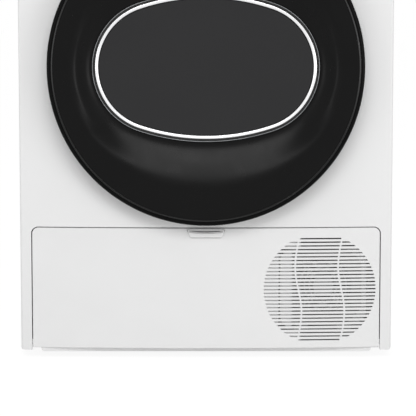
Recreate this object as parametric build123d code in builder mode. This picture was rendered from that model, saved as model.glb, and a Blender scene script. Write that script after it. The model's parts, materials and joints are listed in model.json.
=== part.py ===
from build123d import *

import os
from math import atan2, degrees, pi, sin, sqrt

# A front-loading heat-pump tumble dryer, in millimetres. +Z is up and the door faces -Y.
# The origin is on the floor, under the middle of the whole machine.

# ---- Common sizes ----
sheet = 1.2  # painted steel panels
moulding = 3.0  # walls of plastic pieces
seam = 0.3  # gap between pieces that lie side by side
running = 0.05  # radial play of a pin or shaft in its bore

# ---- Cabinet ----
cabinet_width = 596.0
cabinet_height = 845.0
cabinet_depth = 585.0  # from the front corners to the back panel
front_bow = 14.0  # the middle of the front stands this far before its corners
front_bottom = 12.5
corner_radius = 4.0
return_depth = 12.0  # turned-back sides of the front panel and the fascia
panel_foot_radius = 5.0
flange_width = 16.0
relief_depth = 3.0  # pressed field of each side panel
relief_margin = 80.0
relief_bottom = 110.0
relief_top_margin = 119.0
worktop_height = 26.0
worktop_rim = 10.0
worktop_edge = 3.0
fascia_height = 92.0
fascia_gap = 1.5

# ---- Feet and base ----
foot_height = 10.0
foot_radius = 20.0
foot_stem_radius = 6.0
foot_stem_top = 27.0
foot_margin = 73.0  # from the cabinet's side to the middle of a foot
foot_setback = 70.0
foot_bevel = 1.5
base_setback = 22.0  # front wall of the base behind the front corners
base_wall = 4.0
base_floor_top = 30.0
base_top = 44.0
keel_margin = 36.0
keel_corner = 30.0
keel_height = 16.0

# ---- Kick plate ----
kick_margin = 19.2  # from the cabinet's side to the plate's
kick_bottom = 16.5
kick_top = 211.5
kick_gap = 1.5
kick_corner = 10.0
kick_edge = 1.2  # rounding of its front edges
kick_lip = 4.0  # its rim ends this far behind the front corners
kick_axis_setback = 4.0
kick_axis_z = 24.0
kick_pin_radius = 2.5
kick_pin_length = 5.0
kick_ear_radius = 6.0
notch_lip = 10.0
skirt_margin = 13.3
skirt_setback = -1.0
skirt_corner = 4.0

# ---- Finger pull ----
pull_rim = 1.6  # bar of the kick plate above the pull's mouth
pull_height = 12.6
pull_half_top = 29.5
pull_half_bottom = 26.0
pull_corner = 4.0
pull_proud = 5.0
pull_edge = 1.5
pull_wall = 1.5
pull_mouth_half = 27.0
pull_mouth_ends = 2.9  # height of the mouth at its ends
pull_mouth_middle = 4.9  # and in the middle, where its edge sags
pull_cup_half = 24.5
pull_cup_floor = 2.0

# ---- Vent grille ----
grille_margin = 115.4
grille_z = 112.3
grille_radius = 90.0
slot_pitch = 5.86
slot_height = 2.2
slot_count = 29
rib_offset = 34.5
rib_sway = 5.3
rib_half_wave = 76.0
rib_width = 2.6

# ---- Cooling fan ----
fan_shift = 5.8  # the fan's middle beside the grille's
fan_rise = 4.3
fan_setback = 4.0
fan_width = 138.0
fan_height = 125.0
fan_depth = 30.0
fan_corner = 22.0
fan_wall = 2.5
fan_opening = 45.0
guard_radii = (37.5, 30.0, 22.5)
guard_wire = 1.6
guard_spoke_angles = (45.0, 135.0)
fan_hub_radius = 16.0
fan_pin_radius = 3.0
fan_blade_tip = 42.0
fan_blade_count = 7
fan_blade_chord = 22.0
fan_blade_pitch = 32.0
fan_rotor_depth = 14.0

# ---- Door ----
door_top_margin = 3.9  # below the fascia's gap
door_bottom_margin = 7.4  # above the kick plate
door_gap = 2.0  # back of the door to the middle of the front
door_depth = 28.0
door_skin = 4.0
door_shoulder = 12.0  # straight part of the rim behind the face
door_back_inset = 14.6
door_edge = 5.0
door_bevel_inset = 8.9  # narrow bevel that catches the light
door_bevel_width = 2.6
door_bevel_depth = 0.8
dish_inset = 55.6  # from the door's rim to its dished part
window_side_inset = 15.0  # from the dish's edge to the window, at its sides
window_half_height = 118.5
window_end_radius = 106.5
window_depth = 20.0
dish_waist = 0.55  # the dish bends where it is this far on its way to the window
dish_waist_depth = 8.0
trim_width = 11.0
trim_depth = 6.0
trim_lip = 1.6
trim_groove = 1.8
lens_thickness = 4.0
mouth_inset = 45.6
collar_depth = 10.0
plug_clearance = 15.0
plug_taper = 6.0
plug_reach = 21.0  # end of the plug behind the front corners
glass_thickness = 4.0
glass_inset = 14.0
seal_clearance = 2.0
seal_from = 2.0
seal_to = 10.0

# ---- Door hinge and catch ----
hinge_inset = 18.6  # from the door's rim to the pin
hinge_axis_depth = 12.5  # pin behind the door's face
hinge_pin_radius = 3.0
knuckle_radius = 5.5
hinge_half_height = 34.0
knuckle_inner = 9.7
knuckle_outer = 22.0
hinge_notch = 42.0
hinge_base_width = 21.0
hinge_base_gap = 2.0
hinge_base_thickness = 4.0
hinge_base_half = 40.0
arm_half_width = 2.5
catch_inset = 26.6
striker_half_width = 2.5
striker_head = 4.5
striker_half_height = 12.0
striker_plate_half_height = 18.0
catch_slot_half_width = 8.0
catch_slot_half_height = 15.0
catch_depth = 14.0
catch_wall = 3.0

# ---- Drum ----
drum_side_clearance = 20.0
drum_top_clearance = 51.0
drum_bottom_clearance = 12.0
drum_sheet = 1.0
drum_lip = 16.0
drum_front_setback = 60.0
drum_back_clearance = 86.0
drum_hole_radius = 13.0
drum_inner_ring = 120.0
drum_inner_count = 6
drum_outer_ring = 200.0
drum_outer_count = 10
lifter_height = 52.0
lifter_half_width = 30.0
lifter_top_half = 9.0
lifter_margin = 40.0
lifter_count = 3
lifter_start = 30.0
hub_radius = 60.0
hub_thickness = 5.0
shaft_radius = 12.0
shaft_back_clearance = 56.0
roller_x = 170.0
roller_radius = 18.0
roller_width = 14.0
roller_bevel = 1.0
roller_pin_radius = 5.0

# ---- Bulkheads ----
bulkhead_thickness = 4.0
front_bulkhead_setback = 42.0
bulkhead_lip = 5.0
bulkhead_bottom = 206.0
collar_wall = 3.0
rear_bulkhead_clearance = 78.0
rear_bulkhead_sheet = 1.5
rear_bulkhead_top_gap = 19.0
bearing_radius = 30.0
inlet_radius = 30.0
inlet_ring = 160.0
inlet_count = 8
felt_outer_inset = 2.0
felt_inner_inset = 15.0

# ---- Lint filter ----
filter_half_width = 100.0
filter_front_setback = 23.0
filter_back_setback = 39.0
filter_bottom = 209.0
filter_top = 292.0
filter_frame = 5.0
filter_mesh = 1.0
filter_grip_half = 20.0
filter_grip_top = 272.0
duct_wall = 2.0
duct_clearance = 2.0

# ---- Heat exchanger ----
exchanger_side_gap = 13.0
exchanger_fan_gap = 7.4
exchanger_front_setback = 30.0
exchanger_back_setback = 300.0
exchanger_top = 200.0
service_inset = 45.0  # from the housing's left side to its service opening
service_half_width = 150.0
service_bottom = 58.0
service_top = 176.0
cover_overlap = 10.0
cover_thickness = 10.0
cover_plug = 8.0
coil_gap = 22.0
evaporator_depth = 90.0
condenser_depth = 110.0
coil_end_plate = 5.0
fin_gap = 19.0
fin_thickness = 3.0
fin_web = 8.0
lever_hub_radius = 10.0
lever_length = 34.0
lever_half_width = 5.0
lever_thickness = 6.0
lever_pin_radius = 3.0

# ---- Motor, process fan and belt ----
motor_x = 62.0
motor_z = 100.0
motor_radius = 48.0
motor_length = 100.0
motor_end_cap = 17.0
motor_gap = 20.0
motor_shaft_radius = 6.0
pulley_radius = 12.0
belt_setback = 335.0
belt_width = 10.0
belt_thickness = 3.0
cradle_thickness = 8.0
cradle_half_width = 40.0
impeller_radius = 60.0
impeller_width = 34.0
impeller_hub = 16.0
impeller_blade_count = 10
volute_radius = 68.0
volute_wall = 3.0
volute_gap = 25.0
volute_outlet_width = 44.0
volute_outlet_top = 195.0
volute_foot_near = 22.0
volute_foot_far = 45.0
volute_foot_height = 12.0

# ---- Compressor and pump ----
compressor_margin = 108.0
compressor_setback = 250.0
compressor_radius = 58.0
compressor_bottom = 48.0
compressor_top = 165.0
compressor_crown = 20.0
compressor_plate = 4.0
mount_ring = 66.0
mount_radius = 10.0
mount_count = 3
accumulator_radius = 17.0
pump_margin = 108.0
pump_setback = 420.0
pump_radius = 24.0
pump_height = 46.0

# ---- Water tank ----
drawer_margin = 17.0
drawer_knob_gap = 75.0
drawer_bottom_margin = 8.0
drawer_top_margin = 6.0
bay_wall = 2.0
bay_step = 22.5  # the bay's floor above the drawer front's lower edge
bay_rim = 1.5
bay_front_setback = 14.0
tank_length = 420.0
tank_wall = 2.0
tank_slack = 0.6
grip_half_width = 48.0
grip_margin = 10.5
grip_height = 24.0
grip_undercut = 8.0
pour_radius = 20.0

# ---- Controls ----
button_margin = 32.0  # from the cabinet's side to the last button
button_pitch = 30.0
button_names = ("power_button", "start_button", "time_button", "option_button")
button_radius = 8.0
button_proud = 1.8
button_bevel = 0.8
button_flange = 2.0
button_travel = 1.2
display_gap = 28.0
display_width = 112.0
display_height = 40.0
display_sunk = 0.5
knob_gap = 58.0
knob_radius = 27.0
knob_height = 20.0
knob_skirt = 4.0
knob_taper = 2.0
knob_bevel = 1.5
knob_stem_radius = 6.0
pointer_inset = 4.0
pointer_length = 9.5
board_setback = 7.0
board_depth = 22.0
board_knob_margin = 38.0
board_margin = 19.0
board_height = 60.0

# ---- Rear panel ----
fitting_margin = 68.0
fitting_depth = 4.8  # how far spigot and gland reach inside the back panel
fitting_flange = 2.4
spigot_reach = 12.0
spigot_drop = 119.0
spigot_radius = 8.0
spigot_bore = 5.0
spigot_flange = 14.0
gland_z = 90.0
gland_radius = 9.0
gland_bore = 4.0
gland_flange = 13.0
gland_reach = 8.0
bead_width = 12.0
bead_depth = 3.0
bead_ring_radius = 190.0
bead_rows = (120.0, 160.0)
bead_margin = 118.0
louvre_margin = 83.0
louvre_z = 200.0
louvre_pitch = 12.0
louvre_count = 6
louvre_length = 70.0
louvre_height = 4.0

# ---- Places worked out from the sizes above ----
half_width = cabinet_width / 2
overall_depth = door_depth + door_gap + front_bow + cabinet_depth + spigot_reach
face_y = -overall_depth / 2  # front of the door
door_back_y = face_y + door_depth
edge_y = door_back_y + door_gap + front_bow  # front corners of the cabinet
back_y = edge_y + cabinet_depth
bow_radius = (half_width**2 + front_bow**2) / (2 * front_bow)
bow_centre_y = edge_y - front_bow + bow_radius
return_y = edge_y + return_depth
worktop_z = cabinet_height - worktop_height
fascia_top = worktop_z - fascia_gap
fascia_bottom = fascia_top - fascia_height
front_top = fascia_bottom - fascia_gap
foot_x = half_width - foot_margin
keel_half_width = half_width - keel_margin
base_front_y = edge_y + base_setback
base_back_y = back_y - 2 * sheet - seam
base_half_width = half_width - sheet - seam
base_middle_y = (base_front_y + base_back_y) / 2

kick_half_width = half_width - kick_margin
skirt_half_width = kick_half_width - skirt_margin
notch_half_width = kick_half_width + kick_gap
notch_top = kick_top + kick_gap
kick_axis_y = edge_y + kick_axis_setback
grille_x = half_width - grille_margin
pull_top = kick_top - pull_rim
pull_bottom = pull_top - pull_height
mouth_top = pull_top - pull_wall
mouth_side = mouth_top - pull_mouth_ends
mouth_low = mouth_top - pull_mouth_middle
pull_cup_bottom = mouth_low - pull_wall - pull_cup_floor
fan_x = grille_x + fan_shift
fan_z = grille_z + fan_rise
fan_front_y = edge_y + fan_setback
fan_back_y = fan_front_y + fan_depth

door_top = front_top - door_top_margin
door_bottom = kick_top + door_bottom_margin
door_z = (door_top + door_bottom) / 2
door_radius = (door_top - door_bottom) / 2
door_back_radius = door_radius - door_back_inset
dish_radius = door_radius - dish_inset
window_half_width = dish_radius - window_side_inset
mouth_radius = door_radius - mouth_inset
plug_radius = mouth_radius - plug_clearance
plug_tip_radius = plug_radius - plug_taper
glass_radius = plug_radius - glass_inset
front_bulkhead_opening = mouth_radius - bulkhead_lip
hinge_x = door_radius - hinge_inset
hinge_y = face_y + hinge_axis_depth
hinge_base_outer_x = hinge_x - hinge_base_gap
hinge_base_inner_x = hinge_base_outer_x - hinge_base_width
catch_x = catch_inset - door_radius

exchanger_left = exchanger_side_gap - half_width
exchanger_right = fan_x - fan_width / 2 - exchanger_fan_gap
exchanger_front_y = edge_y + exchanger_front_setback
exchanger_back_y = edge_y + exchanger_back_setback
service_x = exchanger_left + service_inset + service_half_width
cover_y = exchanger_front_y - cover_thickness
drum_low = exchanger_top + drum_bottom_clearance
drum_radius = min(half_width - drum_side_clearance, (worktop_z - drum_top_clearance - drum_low) / 2)
drum_z = drum_low + drum_radius
front_bulkhead_y = edge_y + front_bulkhead_setback
rear_bulkhead_y = back_y - rear_bulkhead_clearance
rear_bulkhead_top = worktop_z - rear_bulkhead_top_gap
drum_front_y = edge_y + drum_front_setback
drum_back_y = back_y - drum_back_clearance
roller_reach = drum_radius + seam + roller_radius
roller_z = drum_z - sqrt(roller_reach**2 - roller_x**2)
belt_y = edge_y + belt_setback
motor_front_y = belt_y + motor_gap
motor_back_y = motor_front_y + motor_length
impeller_front_y = motor_back_y + volute_gap
impeller_back_y = impeller_front_y + impeller_width
compressor_x = half_width - compressor_margin
pump_x = pump_margin - half_width

controls_z = (fascia_bottom + fascia_top) / 2
last_button_x = half_width - button_margin
button_xs = [last_button_x - button_pitch * n for n in reversed(range(len(button_names)))]
display_right = button_xs[0] - display_gap
display_left = display_right - display_width
display_bottom = controls_z - display_height / 2
display_top = controls_z + display_height / 2
knob_x = display_left - knob_gap
drawer_left = drawer_margin - half_width
drawer_right = knob_x - drawer_knob_gap
drawer_bottom = fascia_bottom + drawer_bottom_margin
drawer_top = fascia_top - drawer_top_margin
bay_bottom = drawer_bottom + bay_step
bay_top = drawer_top + bay_rim
grip_bottom = drawer_bottom + grip_margin
grip_top = grip_bottom + grip_height
board_y = edge_y + board_setback
board_left = knob_x - board_knob_margin
board_right = half_width - board_margin
board_bottom = controls_z - board_height / 2
board_top = controls_z + board_height / 2
spigot_x = fitting_margin - half_width
spigot_z = worktop_z - spigot_drop
gland_x = half_width - fitting_margin
louvre_x = half_width - louvre_margin
bead_half_length = half_width - bead_margin

os.makedirs("parts", exist_ok=True)


# ---- Helpers ----
def finish(piece, name):
    """Label a finished piece and write its STEP file."""
    piece.part.label = name
    export_step(piece.part, f"parts/{name}.step")


def front_y(x, inset=0.0):
    """Y of the bowed front at x, or of a surface that far inside it."""
    return bow_centre_y - sqrt((bow_radius - inset) ** 2 - x * x)


def facing(y):
    """Upright plane at y, seen from the front: its x and y are world X and Z."""
    return Plane.XZ.offset(-y)


def slab(x, y, z, mode=Mode.ADD):
    """Box between two corners, each of x, y and z given as a pair in any order."""
    low, high = zip(*((min(pair), max(pair)) for pair in (x, y, z)))
    middle = tuple((a + b) / 2 for a, b in zip(low, high))
    with Locations(middle):
        Box(*(b - a for a, b in zip(low, high)), mode=mode)


def rod(x, z, radius, y, mode=Mode.ADD):
    """Cylinder along Y round (x, z), between a pair of y."""
    with BuildPart(mode=Mode.PRIVATE) as bar:
        with BuildSketch(facing(max(y))):
            with Locations((x, z)):
                Circle(radius)
        extrude(amount=max(y) - min(y))
    add(bar.part, mode=mode)


def post(x, y, radius, z, mode=Mode.ADD):
    """Cylinder along Z round (x, y), between a pair of z."""
    with Locations((x, y, min(z))):
        Cylinder(radius, max(z) - min(z), align=(Align.CENTER, Align.CENTER, Align.MIN), mode=mode)


def turned(x, z, points):
    """Solid turned round a line along Y through (x, z) from points (y, radius)."""
    with BuildPart() as body:
        with BuildSketch(Plane.YZ.offset(x)):
            with BuildLine():
                Polyline([(y, z + radius) for y, radius in points], close=True)
            make_face()
        revolve(axis=Axis((x, 0, z), (0, 1, 0)))
    return body.part


def bowed_block(half, rear, low, high, inset=0.0, radius=0.0):
    """Block between two heights with straight sides and the cabinet's bowed front."""
    side_y = front_y(half, inset)
    with BuildPart() as block:
        with BuildSketch(Plane.XY.offset(low)) as plan:
            with BuildLine():
                ThreePointArc((-half, side_y), (0, front_y(0, inset)), (half, side_y))
                Polyline((half, side_y), (half, rear), (-half, rear), (-half, side_y))
            make_face()
            if radius > 0:
                fillet(plan.vertices().group_by(Axis.Y)[0], radius)
        extrude(amount=high - low)
    return block.part


def arch(half, top, radius, near, far):
    """Block along Y with a round-cornered top, reaching below the floor."""
    with BuildPart() as block:
        with BuildSketch(facing(far)):
            RectangleRounded(2 * half, 2 * top, radius)
        extrude(amount=far - near)
    return block.part


def oval(half_wide, half_high, end_radius):
    """Outline of four arcs that run smoothly into each other: two ends and two broad sides."""
    end_x = half_wide - end_radius
    broad_radius = (end_x**2 + half_high**2 - end_radius**2) / (2 * (half_high - end_radius))
    lean = degrees(atan2(end_x, broad_radius - half_high))
    with BuildSketch() as outline:
        with BuildLine():
            for side in (-1, 1):
                broad_middle = (0, side * (half_high - broad_radius))
                CenterArc(broad_middle, broad_radius, 90 * side - lean, 2 * lean)
                CenterArc((side * end_x, 0), end_radius, lean - 90 * side, 180 - 2 * lean)
        make_face()
    return outline.sketch


def window_block(grow, near, far):
    """Block along Y in the outline of the door's window, grown outwards."""
    with BuildPart() as block:
        with BuildSketch(facing(far)):
            with Locations((0, door_z)):
                add(oval(window_half_width + grow, window_half_height + grow, window_end_radius + grow))
        extrude(amount=far - near)
    return block.part


def dish(grow, stations):
    """The door's dished face, grown outwards: round in front and window-shaped at the bottom.

    Each station is a Y and how far the outline is there on its way from the circle to the window.
    """
    rim = dish_radius + grow
    circle = (rim + running, rim, rim - running / 2)  # round to a hair, yet still of four arcs
    window = [grow + size for size in (window_half_width, window_half_height, window_end_radius)]
    with BuildPart() as block:
        for y, share in stations:
            with BuildSketch(facing(y)):
                with Locations((0, door_z)):
                    add(oval(*(near + (far - near) * share for near, far in zip(circle, window))))
        loft(ruled=True)
    return block.part


# ================================================================ base and feet
foot_front_y = edge_y + foot_setback
foot_back_y = back_y - foot_setback
foot_places = (
    ("foot_front_left", -foot_x, foot_front_y),
    ("foot_front_right", foot_x, foot_front_y),
    ("foot_rear_left", -foot_x, foot_back_y),
    ("foot_rear_right", foot_x, foot_back_y),
)

keel_top = foot_height + keel_height
with BuildPart() as base_tray:
    base_length = base_back_y - base_front_y
    keel_length = base_length - 2 * base_wall
    with BuildSketch(Plane.XY.offset(foot_height)):
        with Locations((0, base_middle_y)):
            RectangleRounded(2 * keel_half_width, keel_length, keel_corner)
            offset(amount=-base_wall, mode=Mode.SUBTRACT)
    extrude(amount=keel_height)
    slab(
        (-base_half_width, base_half_width),
        (base_front_y, base_back_y),
        (keel_top, base_top),
    )
    slab(
        (base_wall - base_half_width, base_half_width - base_wall),
        (base_front_y + base_wall, base_back_y - base_wall),
        (base_floor_top, base_top + 1),
        mode=Mode.SUBTRACT,
    )
    # Bosses that the feet screw into
    for _, x, y in foot_places:
        post(x, y, foot_radius, (foot_height, base_floor_top))
        post(x, y, foot_stem_radius + running, (foot_height, foot_stem_top + seam), Mode.SUBTRACT)
    # Cradle that holds the motor at both ends
    for y in (motor_front_y + cradle_thickness, motor_back_y - cradle_thickness):
        slab(
            (motor_x - cradle_half_width, motor_x + cradle_half_width),
            (y - cradle_thickness / 2, y + cradle_thickness / 2),
            (base_floor_top, motor_z),
        )
    rod(motor_x, motor_z, motor_radius + seam, (motor_front_y - 1, motor_back_y + 1), Mode.SUBTRACT)
    # Pads under the compressor's three feet
    with Locations((compressor_x, edge_y + compressor_setback, base_floor_top)):
        with PolarLocations(mount_ring, mount_count, start_angle=90):
            Cylinder(
                mount_radius,
                compressor_bottom - compressor_plate - base_floor_top,
                align=(Align.CENTER, Align.CENTER, Align.MIN),
            )
finish(base_tray, "base_tray")

for foot_name, x, y in foot_places:
    with BuildPart() as foot:
        post(x, y, foot_radius, (0, foot_height - seam))
        chamfer(foot.edges().group_by(Axis.Z)[0], foot_bevel)
        post(x, y, foot_stem_radius, (foot_height - seam, foot_stem_top))
    finish(foot, foot_name)

# ================================================================ cabinet panels
for side, panel_name in ((-1, "left_side_panel"), (1, "right_side_panel")):
    outer = side * half_width
    inner = outer - side * flange_width
    relief_y = (return_y + relief_margin, back_y - relief_margin)
    with BuildPart() as side_panel:
        slab((outer, outer - side * sheet), (return_y, back_y - sheet), (front_bottom, worktop_z))
        slab((outer, inner), (return_y, return_y + sheet), (front_bottom, worktop_z))
        slab((outer, inner), (back_y - 2 * sheet, back_y - sheet), (front_bottom, worktop_z))
        slab((outer, inner), (return_y, back_y - sheet), (worktop_z - sheet, worktop_z))
        slab(
            (outer, outer - side * (relief_depth + sheet)),
            relief_y,
            (relief_bottom, worktop_z - relief_top_margin),
        )
        slab(
            (outer + side, outer - side * relief_depth),
            (relief_y[0] + sheet, relief_y[1] - sheet),
            (relief_bottom + sheet, worktop_z - relief_top_margin - sheet),
            mode=Mode.SUBTRACT,
        )
    finish(side_panel, panel_name)

with BuildPart() as front_outside:
    add(bowed_block(half_width, return_y, front_bottom, front_top, 0, corner_radius))
    with BuildSketch(facing(return_y)) as front_outline:
        with Locations((0, (front_bottom + front_top) / 2)):
            Rectangle(cabinet_width, front_top - front_bottom)
        fillet(front_outline.vertices().group_by(Axis.Y)[0], panel_foot_radius)
    extrude(amount=return_y - face_y, mode=Mode.INTERSECT)

with BuildPart() as front_panel:
    add(front_outside.part)
    add(
        bowed_block(
            half_width - sheet,
            return_y + 1,
            front_bottom - 1,
            front_top + 1,
            sheet,
            corner_radius - sheet,
        ),
        mode=Mode.SUBTRACT,
    )
    # Turned-in edges of the loading mouth and of the kick plate's notch
    rod(0, door_z, mouth_radius + sheet, (face_y, edge_y + collar_depth))
    add(
        arch(
            notch_half_width + sheet,
            notch_top + sheet,
            kick_corner + kick_gap + sheet,
            face_y,
            edge_y + notch_lip,
        )
    )
    add(front_outside.part, mode=Mode.INTERSECT)
    rod(0, door_z, mouth_radius, (face_y, return_y + 1), Mode.SUBTRACT)
    add(
        arch(notch_half_width, notch_top, kick_corner + kick_gap, face_y, return_y + 1),
        mode=Mode.SUBTRACT,
    )
    # Holes for the kick plate's pins and the door's striker
    with Locations(Location((0, kick_axis_y, kick_axis_z), (0, 90, 0))):
        Cylinder(
            kick_pin_radius + running,
            2 * (notch_half_width + 2 * sheet),
            mode=Mode.SUBTRACT,
        )
    slab(
        (catch_x - catch_slot_half_width, catch_x + catch_slot_half_width),
        (face_y, return_y),
        (door_z - catch_slot_half_height, door_z + catch_slot_half_height),
        mode=Mode.SUBTRACT,
    )
finish(front_panel, "front_panel")

with BuildPart() as rear_panel:
    slab((-half_width + sheet, half_width - sheet), (back_y - sheet, back_y), (front_bottom, worktop_z))
    # Pressed beads: a ring behind the drum and straight rows below it
    bead_bottom_y = back_y - bead_depth - sheet
    rod(0, drum_z, bead_ring_radius + bead_width / 2, (bead_bottom_y, back_y))
    rod(0, drum_z, bead_ring_radius - bead_width / 2, (bead_bottom_y - 1, back_y - sheet), Mode.SUBTRACT)
    for z in bead_rows:
        slab(
            (-bead_half_length, bead_half_length),
            (bead_bottom_y, back_y),
            (z - bead_width / 2, z + bead_width / 2),
        )
    groove = bead_width / 2 - sheet
    with BuildSketch(facing(back_y)):
        with Locations((0, drum_z)):
            Circle(bead_ring_radius + groove)
            Circle(bead_ring_radius - groove, mode=Mode.SUBTRACT)
        for z in bead_rows:
            with Locations((0, z)):
                Rectangle(2 * (bead_half_length - sheet), 2 * groove)
    extrude(amount=bead_depth, mode=Mode.SUBTRACT)
    with BuildSketch(facing(back_y)):
        for x in (-louvre_x, louvre_x):
            with Locations((x, louvre_z)):
                with GridLocations(0, louvre_pitch, 1, louvre_count):
                    SlotOverall(louvre_length, louvre_height)
        with Locations((spigot_x, spigot_z)):
            Circle(spigot_radius + running)
        with Locations((gland_x, gland_z)):
            Circle(gland_radius + running)
    extrude(amount=2 * sheet, mode=Mode.SUBTRACT)
finish(rear_panel, "rear_panel")

with BuildPart() as worktop:
    add(bowed_block(half_width, back_y, worktop_z, cabinet_height, 0, corner_radius))
    fillet(worktop.faces().sort_by(Axis.Z)[-1].edges(), worktop_edge)
    add(
        bowed_block(
            half_width - worktop_rim - flange_width,
            back_y - worktop_rim,
            worktop_z - 1,
            cabinet_height - worktop_rim,
            worktop_rim + return_depth + front_bow,
        ),
        mode=Mode.SUBTRACT,
    )
finish(worktop, "worktop")

with BuildPart() as drain_spigot:
    rod(spigot_x, spigot_z, spigot_radius, (back_y - fitting_depth, back_y + spigot_reach))
    rod(spigot_x, spigot_z, spigot_flange, (back_y, back_y + fitting_flange))
    through = (back_y - fitting_depth - 1, back_y + spigot_reach + 1)
    rod(spigot_x, spigot_z, spigot_bore, through, Mode.SUBTRACT)
finish(drain_spigot, "drain_spigot")

with BuildPart() as cable_gland:
    rod(gland_x, gland_z, gland_radius, (back_y - fitting_depth, back_y + gland_reach))
    rod(gland_x, gland_z, gland_flange, (back_y, back_y + fitting_flange))
    through = (back_y - fitting_depth - 1, back_y + gland_reach + 1)
    rod(gland_x, gland_z, gland_bore, through, Mode.SUBTRACT)
finish(cable_gland, "cable_gland")

# ================================================================ kick plate
with BuildPart() as kick_plate:
    kick_rear_y = edge_y + kick_lip
    add(bowed_block(kick_half_width, kick_rear_y, kick_bottom, kick_top))
    add(arch(kick_half_width, kick_top, kick_corner, face_y, kick_rear_y), mode=Mode.INTERSECT)
    fillet(kick_plate.faces().sort_by(Axis.Y)[0].edges(), kick_edge)
    add(
        bowed_block(
            kick_half_width - moulding,
            kick_rear_y + 1,
            kick_bottom + moulding,
            kick_top - moulding,
            moulding,
        ),
        mode=Mode.SUBTRACT,
    )
    # Straight skirt below the bowed wall
    skirt_height = kick_bottom + moulding - foot_height
    with BuildSketch(facing(edge_y + skirt_setback + moulding)):
        with Locations((0, foot_height + skirt_height / 2)):
            RectangleRounded(2 * skirt_half_width, skirt_height, skirt_corner)
    extrude(amount=moulding)
    # Hinge ears and pins
    for side in (-1, 1):
        ear_x = side * (kick_half_width - moulding / 2)
        pin_x = side * (kick_half_width + kick_pin_length / 2)
        with Locations(Location((ear_x, kick_axis_y, kick_axis_z), (0, 90, 0))):
            Cylinder(kick_ear_radius, moulding)
        with Locations(Location((pin_x, kick_axis_y, kick_axis_z), (0, 90, 0))):
            Cylinder(kick_pin_radius, kick_pin_length)
    # Opening for the finger pull's cup
    slab(
        (-pull_cup_half - seam, pull_cup_half + seam),
        (face_y, edge_y - moulding),
        (pull_cup_bottom - seam, kick_top - moulding),
        mode=Mode.SUBTRACT,
    )
    # Vent grille: straight slots inside a circle, broken by two swaying ribs
    half_rows = (slot_count - 1) / 2
    rib_heights = [n * grille_radius / 3 for n in range(-3, 4)]
    with BuildSketch(facing(edge_y + moulding)):
        with Locations((grille_x, grille_z)):
            with GridLocations(0, slot_pitch, 1, slot_count - 2):
                Rectangle(2 * grille_radius, slot_height)
            Circle(grille_radius, mode=Mode.INTERSECT)
            with GridLocations(0, 2 * half_rows * slot_pitch, 1, 2):
                Rectangle(2 * rib_offset, slot_height)
            for side in (-1, 1):
                rib_x = side * rib_offset
                with BuildLine(mode=Mode.PRIVATE) as rib_line:
                    Spline([(rib_x - rib_sway * sin(pi * z / rib_half_wave), z) for z in rib_heights])
                with BuildSketch(mode=Mode.PRIVATE) as rib:
                    trace(rib_line.line, rib_width)
                add(rib.sketch, mode=Mode.SUBTRACT)
    extrude(amount=moulding + front_bow + 1, mode=Mode.SUBTRACT)
finish(kick_plate, "kick_plate")

with BuildPart() as kick_pull:
    with BuildSketch(facing(edge_y)) as pull_outline:
        Polygon(
            (-pull_half_top, pull_top),
            (pull_half_top, pull_top),
            (pull_half_bottom, pull_bottom),
            (-pull_half_bottom, pull_bottom),
            align=None,
        )
        fillet(pull_outline.vertices().group_by(Axis.Y)[0], pull_corner)
        fillet(pull_outline.vertices().group_by(Axis.Y)[-1], pull_edge)
    extrude(amount=edge_y - front_y(0) + pull_proud)
    fillet(kick_pull.faces().sort_by(Axis.Y)[0].edges(), pull_edge)
    add(
        bowed_block(half_width, return_y, 0, kick_top + moulding, -running),
        mode=Mode.SUBTRACT,
    )
    # Cup behind the mouth, open towards the kick plate's top
    slab(
        (-pull_cup_half, pull_cup_half),
        (front_y(0) - pull_edge, edge_y),
        (pull_cup_bottom, kick_top - moulding - seam),
    )
    for half, near_y in ((pull_mouth_half, front_y(0)), (pull_cup_half - pull_wall, edge_y - pull_wall)):
        with BuildSketch(facing(near_y)):
            with BuildLine():
                Polyline((-half, mouth_side), (-half, mouth_top), (half, mouth_top), (half, mouth_side))
                ThreePointArc((half, mouth_side), (0, mouth_low), (-half, mouth_side))
            make_face()
        extrude(amount=near_y - face_y, mode=Mode.SUBTRACT)
finish(kick_pull, "kick_pull")

# ================================================================ door
skin_y = face_y + door_skin
shell_y = door_back_y - moulding
window_y = face_y + window_depth
ledge_y = window_y + trim_depth / 2  # what the trim and the window rest on
with BuildPart() as door_ring:
    rim_y = face_y + door_bevel_depth
    add(
        turned(
            0,
            door_z,
            (
                (face_y, 0),
                (face_y, door_radius - door_bevel_inset),
                (rim_y, door_radius - door_bevel_inset + door_bevel_width),
                (rim_y, door_radius - door_edge),
                (rim_y + door_edge, door_radius),
                (face_y + door_shoulder, door_radius),
                (door_back_y, door_back_radius),
                (door_back_y, 0),
            ),
        )
    )
    add(
        turned(
            0,
            door_z,
            (
                (skin_y, 0),
                (skin_y, door_radius - door_skin - 1),
                (face_y + door_shoulder, door_radius - door_skin),
                (door_back_y + 1, door_back_radius - door_skin),
                (door_back_y + 1, 0),
            ),
        ),
        mode=Mode.SUBTRACT,
    )
    waist_y = face_y + dish_waist_depth
    behind = ((skin_y - seam, 0), (waist_y + door_skin, dish_waist), (window_y + door_skin, 1))
    add(dish(door_skin, behind))
    add(window_block(door_skin, window_y, shell_y - seam))
    add(dish(0, ((face_y, 0), (waist_y, dish_waist), (window_y, 1))), mode=Mode.SUBTRACT)
    add(window_block(-trim_width, face_y, shell_y), mode=Mode.SUBTRACT)
    add(window_block(0, face_y, ledge_y), mode=Mode.SUBTRACT)
    # Notch in the rim that lets the hinge arms pass as the door swings
    slab(
        (door_back_radius - door_skin - moulding, door_radius + 1),
        (skin_y, door_back_y + 1),
        (door_z - hinge_notch, door_z + hinge_notch),
        mode=Mode.SUBTRACT,
    )
finish(door_ring, "door_ring")

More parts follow.
